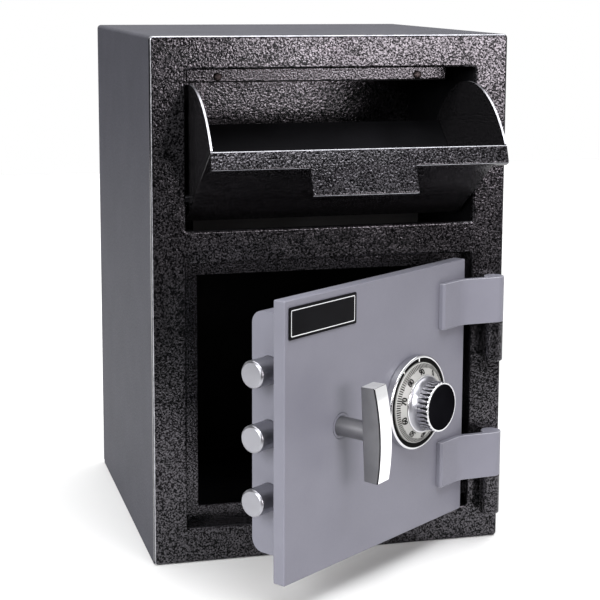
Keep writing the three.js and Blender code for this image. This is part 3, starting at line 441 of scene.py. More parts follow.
def metal(name, dark, light, roughness, stretch=(1, 1, 1), grain=400, depth=0.004, spots=30, metallic=1.0):
    """Bare or plated metal with fine stretched marks and slow changes of shade."""
    made, tree, shader = surface(name, light, roughness, metallic)
    tree.links.new(ramp(tree, noise(tree, spots, detail=3), dark, light), shader.inputs["Base Color"])
    marks = noise(tree, grain, detail=3, rough=0.6, stretch=stretch)
    gloss = spread(tree, marks, low=roughness * 0.8, high=roughness * 1.25)
    tree.links.new(gloss, shader.inputs["Roughness"])
    relief(tree, shader, (marks, depth, 0.6))
    return made


PITCH_BLACK = (0.002, 0.002, 0.0025)
SOFT_BLACK = (0.004, 0.004, 0.005)
ALONG_X = (1, 12, 12)
ALONG_Z = (12, 12, 1)

side_paint = painted("side_paint", (0.035, 0.035, 0.044), (0.042, 0.042, 0.053),
                     roughness=0.58, specular=0.12, grain=900, depth=0.02)
hammer_paint = hammertone("hammer_paint", PITCH_BLACK, (0.088, 0.084, 0.092),
                          roughness=0.18, metallic=0.8, cell=420, depth=0.12)
inner_paint = painted("inner_paint", PITCH_BLACK, (0.005, 0.005, 0.006),
                      roughness=0.6, specular=0.1, grain=700, depth=0.05)
door_paint = painted("door_paint", (0.130, 0.130, 0.157), (0.141, 0.141, 0.169),
                     roughness=0.42, specular=0.3, grain=700, depth=0.012)
# Painted highlight: a lighter grey for the rounded edges of the door and the hinge straps
paint_edge_highlight = painted("paint_edge_highlight", (0.21, 0.21, 0.235), (0.25, 0.25, 0.28),
                     roughness=0.35, specular=0.4, grain=700, depth=0.012)
# Painted highlight: a light metal for the bright lines along the frame's, the hopper rims' and the lip's rounded
# edges
metal_edge_highlight = metal("metal_edge_highlight", (0.24, 0.24, 0.26), (0.40, 0.40, 0.43), 0.38, grain=700, depth=0.02, spots=160)
bolt_steel = metal("bolt_steel", (0.31, 0.31, 0.335), (0.37, 0.37, 0.40), 0.33, ALONG_X, grain=260)
# Painted reflection: darker and brighter copies of the handle's chrome for its sides, front and ends
shaded_side_metal = metal("shaded_side_metal", (0.20, 0.20, 0.21), (0.26, 0.26, 0.27), 0.4, ALONG_Z, grain=260)
highlight_front_metal = metal("highlight_front_metal", (0.88, 0.88, 0.90), (0.93, 0.93, 0.94), 0.12, grain=300, depth=0.001)
shaded_end_metal = metal("shaded_end_metal", (0.26, 0.26, 0.27), (0.33, 0.33, 0.34), 0.5, metallic=0.3)
# Near-black metal for the dark pins, and painted shade in the knob's flutes and on the handle's left bevel
dark_metal_and_shade = metal("dark_metal_and_shade", (0.010, 0.010, 0.011), (0.022, 0.022, 0.024), 0.4, grain=500, spots=60)
chrome = metal("chrome", (0.58, 0.58, 0.60), (0.68, 0.68, 0.69), 0.16, grain=300, depth=0.001)
dial_silver = metal("dial_silver", (0.32, 0.32, 0.31), (0.40, 0.40, 0.385), 0.48,
                    grain=1200, depth=0.003, metallic=0.4)
dial_black = painted("dial_black", (0.001, 0.001, 0.001), (0.003, 0.003, 0.003),
                     roughness=0.45, specular=0.02, grain=1400, depth=0.004)
white_mark = painted("white_mark", (0.75, 0.75, 0.74), (0.82, 0.82, 0.81),
                     roughness=0.5, specular=0.3, grain=1400, depth=0.004)
cap_plastic = painted("cap_plastic", PITCH_BLACK, SOFT_BLACK,
                      roughness=0.5, specular=0.0, grain=1400, depth=0.006)
plate_black = painted("plate_black", PITCH_BLACK, SOFT_BLACK,
                      roughness=0.35, specular=0.03, grain=900, depth=0.006)
zinc = metal("zinc", (0.50, 0.48, 0.42), (0.66, 0.64, 0.58), 0.42, grain=500, depth=0.006, spots=60)
dark_zinc = metal("dark_zinc", (0.045, 0.036, 0.036), (0.085, 0.072, 0.072), 0.45,
                  grain=500, depth=0.006, spots=120)
brass = metal("brass", (0.60, 0.46, 0.24), (0.72, 0.58, 0.34), 0.35, grain=500, spots=60)
rubber = painted("rubber", (0.010, 0.010, 0.010), (0.018, 0.018, 0.018),
                 roughness=0.85, specular=0.2, grain=900, depth=0.03)

finish_of = {
    "side_paint": side_paint,
    "hammer_paint": hammer_paint,
    "inner_paint": inner_paint,
    "door_paint": door_paint,
    "bolt_steel": bolt_steel,
    "chrome": chrome,
    "dial_silver": dial_silver,
    "cap_plastic": cap_plastic,
    "plate_black": plate_black,
    "zinc": zinc,
    "brass": brass,
    "rubber": rubber,
}
for part in frame["record"]["subparts"]:
    node = nodes[part["node"]]
    node.data.materials.clear()
    node.data.materials.append(finish_of[part["material_slot"]])

# Body
WALL = 5
FRAME_PLATE = 6
BACK_PLATE = 6
BODY_CORNER = 4
CORNER_STEPS = 10
FRAME_ROUND = 2.4
BACK_ROUND = 1.6
BACK_SPARE = 3
OPENING_CORNER = 2
JAMB_THICKNESS = 3
STOP_DEPTH = 22
STOP_THICKNESS = 3
STOP_WIDTH = 15
STOP_CORNER = 0.5
STOP_EDGE = 0.7
HIGHLIGHT_BAND = 3


def frame_edge_highlight(co, no):
    """Painted highlight: the thin bright line along the frame's top and left edges."""
    top = co.z > HEIGHT - HIGHLIGHT_BAND and 0.45 < no.z < 0.85
    left = co.x < HIGHLIGHT_BAND - HALF and 0.5 < -no.x < 0.8
    return top or left


def frame_shade(co, no):
    """The dark line between that bright one and the safe's top and side."""
    return co.y < FRONT + FRAME_ROUND and (0.85 < no.z < 0.999 or 0.8 < -no.x < 0.999)


outer = rounded(-HALF, HALF, 0, HEIGHT, BODY_CORNER, CORNER_STEPS)
door_hole = within(OPENING_X, DOOR_HOLE, 0, OPENING_CORNER)
hopper_hole = within(OPENING_X, HOPPER_HOLE, 0, OPENING_CORNER)
frame_back = FRONT + FRAME_PLATE
face = plate("Y", outer, FRONT, frame_back + FRAME_ROUND, FRAME_ROUND, (door_hole, hopper_hole), steps=5)
face = flat_back(face, (0, frame_back, 0), (0, 1, 0))
mark(face, 1, frame_edge_highlight)
mark(face, 2, frame_shade)
jamb_outline = within(OPENING_X, DOOR_HOLE, -JAMB_THICKNESS, OPENING_CORNER + JAMB_THICKNESS)
jamb = plate("Y", jamb_outline, frame_back, FRONT + STOP_DEPTH, 0, (door_hole,))
piece("front_frame_form", merged(face, jamb), "body", "hammer_paint", [hammer_paint, metal_edge_highlight, inner_paint],
      "front_frame")

stop_outline = within(OPENING_X, DOOR_HOLE, -JAMB_THICKNESS, STOP_CORNER, steps=2)
stop_hole = within(OPENING_X, DOOR_HOLE, STOP_WIDTH, STOP_CORNER, steps=2)
stop_back = FRONT + STOP_DEPTH + STOP_THICKNESS
stop = plate("Y", stop_outline, FRONT + STOP_DEPTH, stop_back, STOP_EDGE, (stop_hole,))
piece("door_stop_form", stop, "body", "hammer_paint", [hammer_paint], "door_stop_frame")

inner_x, ceiling = HALF - WALL, HEIGHT - WALL
bend_x, bend_z = HALF - BODY_CORNER, HEIGHT - BODY_CORNER
fold = [(-inner_x, ceiling), (-inner_x, 0), (-HALF, 0)]
fold += arc(-bend_x, bend_z, BODY_CORNER, 180, 90, CORNER_STEPS)
fold += arc(bend_x, bend_z, BODY_CORNER, 90, 0, CORNER_STEPS)
fold += [(HALF, 0), (inner_x, 0), (inner_x, ceiling)]
wrap = plate("Y", fold, frame_back, BACK - BACK_PLATE)
mark(wrap, 1, lambda co, no: abs(co.x) < inner_x + NEAR and co.z < ceiling + NEAR)
piece("body_wrap_form", wrap, "body", "side_paint", [side_paint, inner_paint], "body_wrap")

rear_front = BACK - BACK_PLATE
rear = plate("Y", outer, rear_front - BACK_SPARE, BACK, BACK_ROUND, steps=4)
rear = flat_back(rear, (0, rear_front, 0), (0, -1, 0))
mark(rear, 1, lambda co, no: abs(no.y) > 0.9 and co.y < rear_front + NEAR)
piece("back_panel_form", rear, "body", "side_paint", [side_paint, inner_paint], "back_panel")

# Header strip, with painted shadow as a dark band along its lower edge, and its screws
STRIP_SHADOW_BAND = 1.1
STRIP_CORNER = 0.8
STRIP_EDGE = 0.4
CROWN_ANGLES = (0.35, 0.7, 1.05, 1.3)

strip_x, (strip_front, strip_back), (strip_low, strip_top) = limits("header_strip")
shadow_band_top = strip_low + STRIP_SHADOW_BAND
strip_outline = rounded(*strip_x, shadow_band_top, strip_top, STRIP_CORNER, steps=3)
shadow_band_outline = rounded(*strip_x, strip_low, shadow_band_top + LAP, STRIP_CORNER / 2, steps=3)
strip = plate("Y", strip_outline, strip_front, strip_back, STRIP_EDGE)
# Painted shadow: the strip's lowest band is near-black paint
shadow_band = mark(plate("Y", shadow_band_outline, strip_front + LAP, strip_back), 1, everywhere)
piece("header_strip_form", merged(strip, shadow_band), "body", "hammer_paint", [hammer_paint, inner_paint],
      "header_strip")


def cross_screw(radius, height, shank, length):
    """A pan-head screw with a cross recess, its head's underside at height 0."""
    rim = height * 0.35
    crown = [(radius * math.cos(a), rim + (height - rim) * math.sin(a)) for a in CROWN_ANGLES]
    profile = [(0, -length), (shank, -length), (shank, 0), (radius, 0), (radius, rim), *crown, (0, height)]
    long, wide, deep = radius * 0.62, radius * 0.14, height * 0.5
    slots = [
        plate("Z", rounded(-a, a, -b, b, wide / 2, steps=2), deep, height + PAST)
        for a, b in ((long, wide), (wide, long))
    ]
    return solid(turned(profile, 32), (), slots)


for i in (1, 2):
    x, z = middle(f"header_screw_{i}")[::2]
    screw = cross_screw(radius=4.2, height=1.8, shank=2.5, length=6)
    piece(f"header_screw_{i}_form", set_at(screw, "Y", x, strip_front - SEAT, z), "body", "zinc",
          [dark_zinc], f"header_screw_{i}")

# Hopper
HOPPER_SHEET = 2
HOPPER_TOP_GAP = 2.4
APEX_ABOVE_PIVOT = 5.8
TRAY_SLOPE = 18
RIM_STEPS = 72
EAR_RADIUS = 9
PIN_BORE = 4.3
LUG_RADIUS = 4
LUG_LENGTH = 4
LUG_FROM_RIM = 20
LUG_DEGREES = -5
SIDE_EDGE = 0.7
PANEL_CORNER = 0.5
PANEL_EDGE = 0.4

panel_x, panel_y, panel_z = limits("hopper_panel", HOPPER_POSE)
HOPPER_HALF = panel_x[1]
PANEL_Y = sum(panel_y) / 2
APEX_Z = PIVOT[1] + APEX_ABOVE_PIVOT
REACH = HOPPER_HOLE[1] - HOPPER_TOP_GAP - APEX_Z

behind_panel = HOPPER_SHEET / 2 + SEAT
under_tray = HOPPER_SHEET + SEAT
rim_end = -TRAY_SLOPE - math.degrees(math.asin(under_tray / REACH))
rim_start = math.degrees(math.acos(behind_panel / REACH))
sector = [(PANEL_Y + behind_panel, APEX_Z - under_tray)]
sector += arc(PANEL_Y, APEX_Z, REACH, rim_end, rim_start, RIM_STEPS)
lug_orbit = REACH - LUG_FROM_RIM
lug = (
    PIVOT[0] + lug_orbit * math.cos(math.radians(LUG_DEGREES)),
    PIVOT[1] + lug_orbit * math.sin(math.radians(LUG_DEGREES)),
)


def rim_highlight(co, no):
    """Painted highlight: the bright line along the side plate's round rim."""
    return abs(no.x) < 0.45 and math.dist(co.yz, (PANEL_Y, APEX_Z)) > REACH - HOPPER_SHEET


for name, side in (("left", -1), ("right", 1)):
    inner_face = HOPPER_HALF - HOPPER_SHEET
    low, high = sorted((side * inner_face, side * HOPPER_HALF))
    lug_low, lug_high = sorted((side * (inner_face + LAP), side * (HOPPER_HALF + LUG_LENGTH)))
    side_plate = solid(
        plate("X", sector, low, high),
        [plate("X", circle(*PIVOT, EAR_RADIUS), low, high),
         plate("X", circle(*lug, LUG_RADIUS, steps=24), lug_low, lug_high)],
        [plate("X", circle(*PIVOT, PIN_BORE, steps=32), low - PAST, high + PAST)],
        SIDE_EDGE,
        steps=3,
    )
    mark(side_plate, 1, rim_highlight)
    piece(f"hopper_side_{name}_form", side_plate, "hopper", "hammer_paint", [hammer_paint, metal_edge_highlight],
          f"hopper_side_{name}", pose=HOPPER_POSE)

panel_top = APEX_Z + REACH - HOPPER_SHEET - 2 * SEAT
panel_outline = rounded(*panel_y, panel_z[0], panel_top, PANEL_CORNER, steps=3)
panel = plate("X", panel_outline, -HOPPER_HALF, HOPPER_HALF, PANEL_EDGE)
piece("hopper_panel_form", panel, "hopper", "hammer_paint", [hammer_paint], "hopper_panel", pose=HOPPER_POSE)

# Pull lip: two side bars and a longer tab in the middle, bent from one sheet
LIP_DROOP = math.radians(10)
LIP_LENGTH = 18
LIP_FLANGE = 7
TAB_HALF = 50
TAB_LENGTH = 44
TAB_FLANGE = 5
BEND_INSIDE = 0.5
LIP_NOSE = 1.4
LIP_EDGE = 0.5


def lip_bar(length, flange, x0, x1):
    """The lip's bent sheet seen from the side, with rounded bends, drawn along X."""
    sheet, bend = HOPPER_SHEET, BEND_INSIDE
    rim = [(SEAT + LAP, sheet), (length - sheet - bend, sheet)]
    rim += arc(length - sheet - bend, sheet + bend, bend, -90, 0, 3)
    rim += [(length - sheet, flange), (length, flange)]
    rim += arc(length - sheet, sheet, sheet, 0, -90, 6)
    rim += arc(SEAT + LIP_NOSE, LIP_NOSE, LIP_NOSE, -90, -180, 5)
    points = [
        (
            PANEL_Y + sheet / 2 - along * math.cos(LIP_DROOP) + down * math.sin(LIP_DROOP),
            APEX_Z + REACH - along * math.sin(LIP_DROOP) - down * math.cos(LIP_DROOP),
        )
        for along, down in rim
    ]
    return plate("X", points, x0, x1)


def lip_highlight(co, no):
    """Painted highlight: the bright lines along the lip's outer bends."""
    rise = no.dot(Vector((0, -math.sin(LIP_DROOP), math.cos(LIP_DROOP))))
    over_panel = co.y > PANEL_Y - HOPPER_SHEET
    return abs(no.x) < 0.5 and (0.35 < rise < 0.93 if over_panel else 0.55 < rise < 0.72)


lip = solid(
    lip_bar(LIP_LENGTH, LIP_FLANGE, -HOPPER_HALF, SEAT - TAB_HALF),
    [lip_bar(LIP_LENGTH, LIP_FLANGE, TAB_HALF - SEAT, HOPPER_HALF),
     lip_bar(TAB_LENGTH, TAB_FLANGE, -TAB_HALF, TAB_HALF)],
    (),
    LIP_EDGE,
)
mark(lip, 1, lip_highlight)
piece("hopper_lip_form", lip, "hopper", "hammer_paint", [hammer_paint, metal_edge_highlight], "hopper_lip",
      pose=HOPPER_POSE)

# Hinges: a barrel on the frame, and a strap on the door that bends forwards round its knuckle
BARREL_RADIUS = 10
BARREL_ROUND = 1.6
BARREL_ANGLES = (-1.571, -1.1, -0.7, -0.35, 0)
BARREL_CHAMFER = 0.6
FOOT_HALF = 4.5
FOOT_RISE = 1.5
FOOT_DROP = 0.4
FOOT_CORNER = 0.8
FOOT_EDGE = 0.3
STRAP_HALF = 3
STRAP_OVERLAP = 45
STRAP_BEND = 31
STRAP_BEND_RADIUS = 30
BEND_STEPS = 12
END_CHAMFER = 2
KNUCKLE_END = 172.6
STRAP_EDGE = 0.8

bend = math.radians(STRAP_BEND)
middle_y = DOOR_FACE - SEAT - STRAP_HALF
touch = BARREL_RADIUS - STRAP_HALF
tangent = (HINGE[0] - touch * math.sin(bend), HINGE[1] - touch * math.cos(bend))
straight = (middle_y - STRAP_BEND_RADIUS * (1 - math.cos(bend)) - tangent[1]) / math.sin(bend)
bend_start = tangent[0] - straight * math.cos(bend) - STRAP_BEND_RADIUS * math.sin(bend)
line = []
for i in range(BEND_STEPS + 1):
    a = bend * i / BEND_STEPS
    x = bend_start + STRAP_BEND_RADIUS * math.sin(a)
    line.append((x, middle_y - STRAP_BEND_RADIUS * (1 - math.cos(a)), a))
start = DOOR_X[1] - STRAP_OVERLAP
strap = [
    (start, middle_y + STRAP_HALF),
    (start, middle_y - STRAP_HALF + END_CHAMFER),
    (start + END_CHAMFER, middle_y - STRAP_HALF),
]
strap += [(x - STRAP_HALF * math.sin(a), y - STRAP_HALF * math.cos(a)) for x, y, a in line]
strap += arc(*HINGE, BARREL_RADIUS, -90 - STRAP_BEND, KNUCKLE_END, 60)
strap += [(x + STRAP_HALF * math.sin(a), y + STRAP_HALF * math.cos(a)) for x, y, a in reversed(line)]


def hinge_barrel(low, top):
    """A barrel, round at its lower end and chamfered on top, with the foot that joins it to the frame."""
    shoulder = BARREL_RADIUS - BARREL_ROUND
    profile = [(0, low)]
    for a in BARREL_ANGLES:
        rise = BARREL_ROUND * (1 + math.sin(a))
        profile.append((shoulder + BARREL_ROUND * math.cos(a), low + rise))
    profile += [(BARREL_RADIUS, top - BARREL_CHAMFER), (BARREL_RADIUS - BARREL_CHAMFER, top), (0, top)]
    barrel = set_at(turned(profile, 64), "Z", *HINGE, 0)
    foot_x = (HINGE[0] - FOOT_HALF, HINGE[0] + FOOT_HALF)
    foot_outline = rounded(*foot_x, low + FOOT_RISE, top - FOOT_DROP, FOOT_CORNER, steps=3)
    return merged(barrel, plate("Y", foot_outline, HINGE[1], FRONT, FOOT_EDGE))


for name in ("lower", "upper"):
    barrel = hinge_barrel(*limits(f"hinge_barrel_{name}")[2])
    piece(f"hinge_barrel_{name}_form", barrel, "body", "hammer_paint", [hammer_paint], f"hinge_barrel_{name}")
    sheet = plate("Z", strap, *limits(f"hinge_strap_{name}")[2], STRAP_EDGE)
    # Painted highlight: the strap's rounded top and bottom edges are a lighter grey
    mark(sheet, 1, lambda co, no: 0.3 < abs(no.z) < 0.95)
    piece(f"hinge_strap_{name}_form", sheet, "door", "door_paint", [door_paint, paint_edge_highlight],
          f"hinge_strap_{name}", pose=DOOR_POSE)

# Door and the handle's bushing, whose outline is (radius, height in front of the door's face)
DOOR_CORNER = 1.5
DOOR_EDGE = 1
BUSHING_HOLE = 11.8
SPINDLE_HOLE = 4.6
SHAFT_BORE = 9.3
BUSHING_RADIUS = 11.75
FLANGE_RADIUS = 15
FLANGE_BACK = -15.5

door_holes = (circle(HANDLE_X, WORK_Z, BUSHING_HOLE, steps=64), circle(DIAL_X, WORK_Z, SPINDLE_HOLE))
door_outline = within(DOOR_X, DOOR_Z, 0, DOOR_CORNER)
door_sheet = plate("Y", door_outline, DOOR_FACE, DOOR_BACK, DOOR_EDGE, door_holes, steps=4)
# Painted highlight: the door's rounded right edge is a lighter grey
mark(door_sheet, 1, lambda co, no: co.x > DOOR_X[1] - 1.2 * DOOR_EDGE and no.x > 0.3 and no.y < -0.2)
piece("door_plate_form", door_sheet, "door", "door_paint", [door_paint, paint_edge_highlight], "door_plate",
      pose=DOOR_POSE)

plate_end = DOOR_FACE - DOOR_BACK
bushing = turned(
    [(SHAFT_BORE, 0), (BUSHING_RADIUS, 0), (BUSHING_RADIUS, plate_end), (FLANGE_RADIUS, plate_end - LAP),
     (FLANGE_RADIUS, FLANGE_BACK), (SHAFT_BORE, FLANGE_BACK), (SHAFT_BORE, 0)],
    64,
)
piece("handle_bushing_form", set_at(bushing, "Y", HANDLE_X, DOOR_FACE, WORK_Z), "door", "door_paint",
      [door_paint], "handle_bushing", pose=DOOR_POSE)

# Bolt housing, with its cover and screws
PAN_CORNER = 12
PAN_WALL = 3
PAN_EDGE = 0.9
WINDOW_INSET = 20
WINDOW_CORNER = 2
COVER_OVERLAP = 8
COVER_CORNER = 4
COVER_THICKNESS = 2
COVER_EDGE = 0.5
BOLT_HOLE = 13
BOLT_NAMES = ("lower", "middle", "upper")

bolt_places = {name: middle(f"bolt_{name}", DOOR_POSE)[1:] for name in BOLT_NAMES}


def pan_profile(inset, front=INSIDE):
    """The housing seen from the side: open towards the door, with rounded bends at the back."""
    bottom, top, back, radius = PAN_Z[0] + inset, PAN_Z[1] - inset, PAN_BACK - inset, PAN_CORNER - inset
    lower_bend = arc(back - radius, bottom + radius, radius, -90, 0, 10)
    upper_bend = arc(back - radius, top - radius, radius, 0, 90, 10)
    return [(front, bottom), *lower_bend, *upper_bend, (front, top)]


hollow = plate("X", pan_profile(PAN_WALL, INSIDE - PAST), PAN_X[0] + PAN_WALL, PAN_X[1] - PAN_WALL)
window_outline = within(PAN_X, PAN_Z, WINDOW_INSET, WINDOW_CORNER)
window = plate("Y", window_outline, PAN_BACK - 2 * PAN_WALL, PAN_BACK + PAST)
bolt_holes = [
    plate("X", circle(*place, BOLT_HOLE, steps=64), PAN_X[0] - PAST, PAN_X[0] + PAST)
    for place in bolt_places.values()
]
housing = solid(plate("X", pan_profile(0), *PAN_X), (), [hollow, window, *bolt_holes], PAN_EDGE, 3, angle=50)
piece("bolt_housing_form", housing, "door", "door_paint", [door_paint], "bolt_housing", pose=DOOR_POSE)

cover_front = PAN_BACK + SEAT
cover_back = cover_front + COVER_THICKNESS
cover_outline = within(PAN_X, PAN_Z, WINDOW_INSET - COVER_OVERLAP, COVER_CORNER)
cover = plate("Y", cover_outline, cover_front, cover_back, COVER_EDGE)
piece("housing_cover_form", cover, "door", "door_paint", [door_paint], "housing_cover", pose=DOOR_POSE)
for i in range(1, 5):
    x, z = middle(f"cover_screw_{i}", DOOR_POSE)[::2]
    screw = cross_screw(radius=4, height=2, shank=2, length=5)
    screw.transform(turn(180, "X"))
    piece(f"cover_screw_{i}_form", set_at(screw, "Y", x, cover_back + SEAT, z), "door", "zinc", [zinc],
          f"cover_screw_{i}", pose=DOOR_POSE)

# Bare plate, with a thin bright border
PLATE_CORNER = 1.6
PLATE_EDGE = 0.3
BORDER = ((2.6, 1.2), (3.4, 0.8))
BORDER_PROUD = 0.03
BORDER_SUNK = 0.05

plate_x, (plate_front, plate_back), plate_z = limits("nameplate", DOOR_POSE)
bare_plate = plate("Y", within(plate_x, plate_z, 0, PLATE_CORNER), plate_front, plate_back, PLATE_EDGE)
border_outer, border_inner = [within(plate_x, plate_z, inset, corner) for inset, corner in BORDER]
border = plate("Y", border_outer, plate_front - BORDER_PROUD, plate_front + BORDER_SUNK, 0, (border_inner,))
mark(border, 1, everywhere)
piece("nameplate_form", merged(bare_plate, border), "door", "plate_black", [plate_black, chrome], "nameplate",
      pose=DOOR_POSE)

# Locking bolts, with softened chamfers
BOLT_RADIUS = 12.7
BOLT_BODY = 46.5
NECK_RADIUS = 5

for name, place in bolt_places.items():
    tip, end = limits(f"bolt_{name}", DOOR_POSE)[0]
    profile = [(0, 0), (10.6, 0), (11.2, 0.15), (12.3, 1.2), (12.62, 1.7), (BOLT_RADIUS, 2.2),
               (BOLT_RADIUS, BOLT_BODY), (NECK_RADIUS, BOLT_BODY), (NECK_RADIUS, end - tip), (0, end - tip)]
    bolt = set_at(turned(profile, 72), "X", tip, *place)
    piece(f"bolt_{name}_form", bolt, "bolts", "bolt_steel", [bolt_steel], f"bolt_{name}", pose=DOOR_POSE)

# T handle, whose shaft's outline is (radius, height in front of the door's face)
HANDLE_STANDOFF = 30.5
HANDLE_DEPTH = 15
HANDLE_BOW = 4.8
HANDLE_HALF = 45
HANDLE_WIDTH = 18
HANDLE_EDGE = 1
END_SLANT = 0.5
HANDLE_LEAN = 4
BOW_STEPS = 24
SHAFT_RADIUS = 9
SHAFT_FRONT = 37
SHAFT_NECK = 6
SHAFT_END = -23.3

bar_back = DOOR_FACE - HANDLE_STANDOFF
bar_front = bar_back - HANDLE_DEPTH
side_view = [(bar_back, END_SLANT - HANDLE_HALF), (bar_back, HANDLE_HALF - END_SLANT)]
for i in range(BOW_STEPS + 1):
    s = i / BOW_STEPS
    side_view.append((bar_front - HANDLE_BOW * 4 * s * (1 - s), HANDLE_HALF - 2 * HANDLE_HALF * s))
bar = plate("X", side_view, -HANDLE_WIDTH / 2, HANDLE_WIDTH / 2)
bar = solid(bar, edge=HANDLE_EDGE, steps=3, angle=30)
# Painted reflection: one chrome handle drawn in copies of differing brightness, with darker satin sides, grey
# ends, a near-black bevel on the left for a dark reflection and a bright polished front
mark(bar, 2, lambda co, no: abs(no.z) > 0.9)
mark(bar, 3, lambda co, no: no.x < -0.2 and no.y < -0.2)
mark(bar, 1, lambda co, no: no.y < -0.75 and no.x > -0.2)
bar.transform(moved(HANDLE_X, 0, WORK_Z) @ turn(-HANDLE_LEAN, "Y"))
shaft = turned(
    [(0, SHAFT_FRONT), (SHAFT_RADIUS, SHAFT_FRONT), (SHAFT_RADIUS, FLANGE_BACK), (SHAFT_NECK, FLANGE_BACK),
     (SHAFT_NECK, SHAFT_END), (0, SHAFT_END)],
    64,
)
set_at(shaft, "Y", HANDLE_X, DOOR_FACE, WORK_Z)
piece("handle_form", merged(bar, shaft), "handle", "chrome",
      [shaded_side_metal, highlight_front_metal, shaded_end_metal, dark_metal_and_shade], "handle", pose=DOOR_POSE, sharp=30)

# Dial: outlines are (radius, height in front of the door's face)
DIAL_POSE = DOOR_POSE @ moved(DIAL_X, DOOR_FACE, WORK_Z) @ PLANES["Y"]
DIAL_BORE = 4.3
RING_RADIUS = 45.75
RING_HEIGHT = 8
RING_STEP = 39.8
RING_FLOOR = 5
BRIGHT_BANDS = 9
BLACK_BANDS = 4
DISC_RADIUS = 38.9
DISC_RIM = (38.6, 8.45)
DISC_SHOULDER = (28, 13.4)
DISC_FRONT = 13.5

ring = [(SPINDLE_HOLE, SEAT), (45.3, SEAT), (RING_RADIUS, 0.75), (RING_RADIUS, 6.7), (45.6, 7.2),
        (45.1, 7.75), (44.45, RING_HEIGHT), (43.9, RING_HEIGHT), (43.5, 7.85), (43.3, 7.3),
        (RING_STEP, 7.2), (RING_STEP, RING_FLOOR), (SPINDLE_HOLE, RING_FLOOR), (SPINDLE_HOLE, SEAT)]
ring_tints = [0] * BRIGHT_BANDS + [1] * BLACK_BANDS
piece("dial_ring_form", turned(ring, 160, ring_tints), "door", "chrome", [chrome, dial_black], "dial_ring",
      pose=DIAL_POSE)
disc_back = RING_FLOOR + SEAT
disc = [(DIAL_BORE, disc_back), (38.5, disc_back), (DISC_RADIUS, 5.7), (DISC_RADIUS, 8.1), DISC_RIM,
        DISC_SHOULDER, (27.6, DISC_FRONT), (DIAL_BORE, DISC_FRONT), (DIAL_BORE, disc_back)]
piece("dial_disc_form", turned(disc, 160), "dial", "dial_silver", [dial_silver], "dial_disc", pose=DIAL_POSE)

# Marks and numbers on the disc's sloping face
CONE = math.atan2(DISC_SHOULDER[1] - DISC_RIM[1], DISC_RIM[0] - DISC_SHOULDER[0])
ZERO_DEGREES = 32
TICK_COUNT = 100
NUMBER_COUNT = 10
TICK_RADIUS = 38.2
TICK_LENGTHS = {10: 5.4, 5: 4.9, 1: 4.4}
TICK_HALF_WIDTHS = {10: 0.64, 5: 0.64, 1: 0.58}
TICK_THICKNESS = 0.05
NUMBER_RADIUS = 30.9
NUMBER_LIFT = 0.03
NUMBER_SIZE = 7.6
NUMBER_WEIGHT = 0.17
NUMBER_WIDEN = 0.22
INK = 0.02


def on_cone(radius, degrees, lift):
    """A frame on the dial's sloping face: y points outwards and z out of the face."""
    height = DISC_RIM[1] + (DISC_RIM[0] - radius) * math.tan(CONE) + lift
    return turn(-degrees, "Z") @ moved(0, radius, height) @ Matrix.Rotation(-CONE, 4, "X")


def dial_number(text):
    curve = bpy.data.curves.new("digit", "FONT")
    curve.body = text
    curve.size = NUMBER_SIZE * MM
    curve.align_x = "CENTER"
    curve.align_y = "CENTER"
    curve.offset = NUMBER_WEIGHT * MM
    curve.extrude = INK * MM
    return evaluated(linked(curve))


ink = []
for i in range(TICK_COUNT):
    rank = next(step for step in TICK_LENGTHS if i % step == 0)
    long, wide = TICK_LENGTHS[rank], TICK_HALF_WIDTHS[rank]
    tick = plate("Z", [(-wide, -long), (wide, -long), (wide, 0), (-wide, 0)], 0, TICK_THICKNESS)
    tick.transform(on_cone(TICK_RADIUS, ZERO_DEGREES + 360 / TICK_COUNT * i, INK))
    ink.append(tick)
for i in range(NUMBER_COUNT):
    digit = dial_number(str(10 * i))
    spot = on_cone(NUMBER_RADIUS, ZERO_DEGREES + 360 / NUMBER_COUNT * i, NUMBER_LIFT)
    for aside in (-NUMBER_WIDEN, NUMBER_WIDEN):
        stroke = digit.copy()
        stroke.transform(spot @ moved(aside, 0, 0))
        ink.append(stroke)
piece("dial_marks", merged(*ink), "dial", "cap_plastic", [dial_black], pose=DIAL_POSE, weighted=False)

# The still ring's two index marks
INDEX_DEGREES = (0, -36)
INDEX_PLACE = (0, 41.6, 7.26)
INDEX_OUTLINE = [(-0.9, 1.6), (-0.6, -1.7), (0.6, -1.7), (0.9, 1.6)]
INDEX_THICKNESS = 0.1

marks = []
for degrees in INDEX_DEGREES:
    wedge = plate("Z", INDEX_OUTLINE, 0, INDEX_THICKNESS)
    wedge.transform(turn(-degrees, "Z") @ moved(*INDEX_PLACE))
    marks.append(wedge)
piece("dial_index_marks", merged(*marks), "door", "chrome", [white_mark], pose=DIAL_POSE, weighted=False)

# Fluted knob, whose flutes are deepest in the middle of its flare, and the domed cap in its front
FLUTE_COUNT = 32
FLUTE_NARROWING = 1.5
KNOB_STEPS = 384
KNOB_FRONT = 34
FOOT_TOP = 14.75
CAP_WELL = 22.1
CAP_FLOOR = 32
CAP_RADIUS = 21.8
CAP_SHOULDER = (21.5, 34.5)
CAP_RISE = 1.7
DOME_ANGLES = (0.2, 0.45, 0.7, 1.0, 1.3)

knob_back = DISC_FRONT + SEAT
knob = [(DIAL_BORE, knob_back), (27.5, knob_back), (27.8, 14.0), (27.8, 14.4), (27.5, 14.7), (26.8, 14.8),
        (26.0, 15.3), (25.1, 16.6), (24.3, 18.8), (23.85, 21.5), (23.6, 24.5), (23.6, 27), (23.8, 29.4),
        (24.1, 31.4), (24.2, 32.6), (24.0, 33.4), (23.4, KNOB_FRONT), (CAP_WELL, KNOB_FRONT),
        (CAP_WELL, CAP_FLOOR), (DIAL_BORE, CAP_FLOOR), (DIAL_BORE, knob_back)]
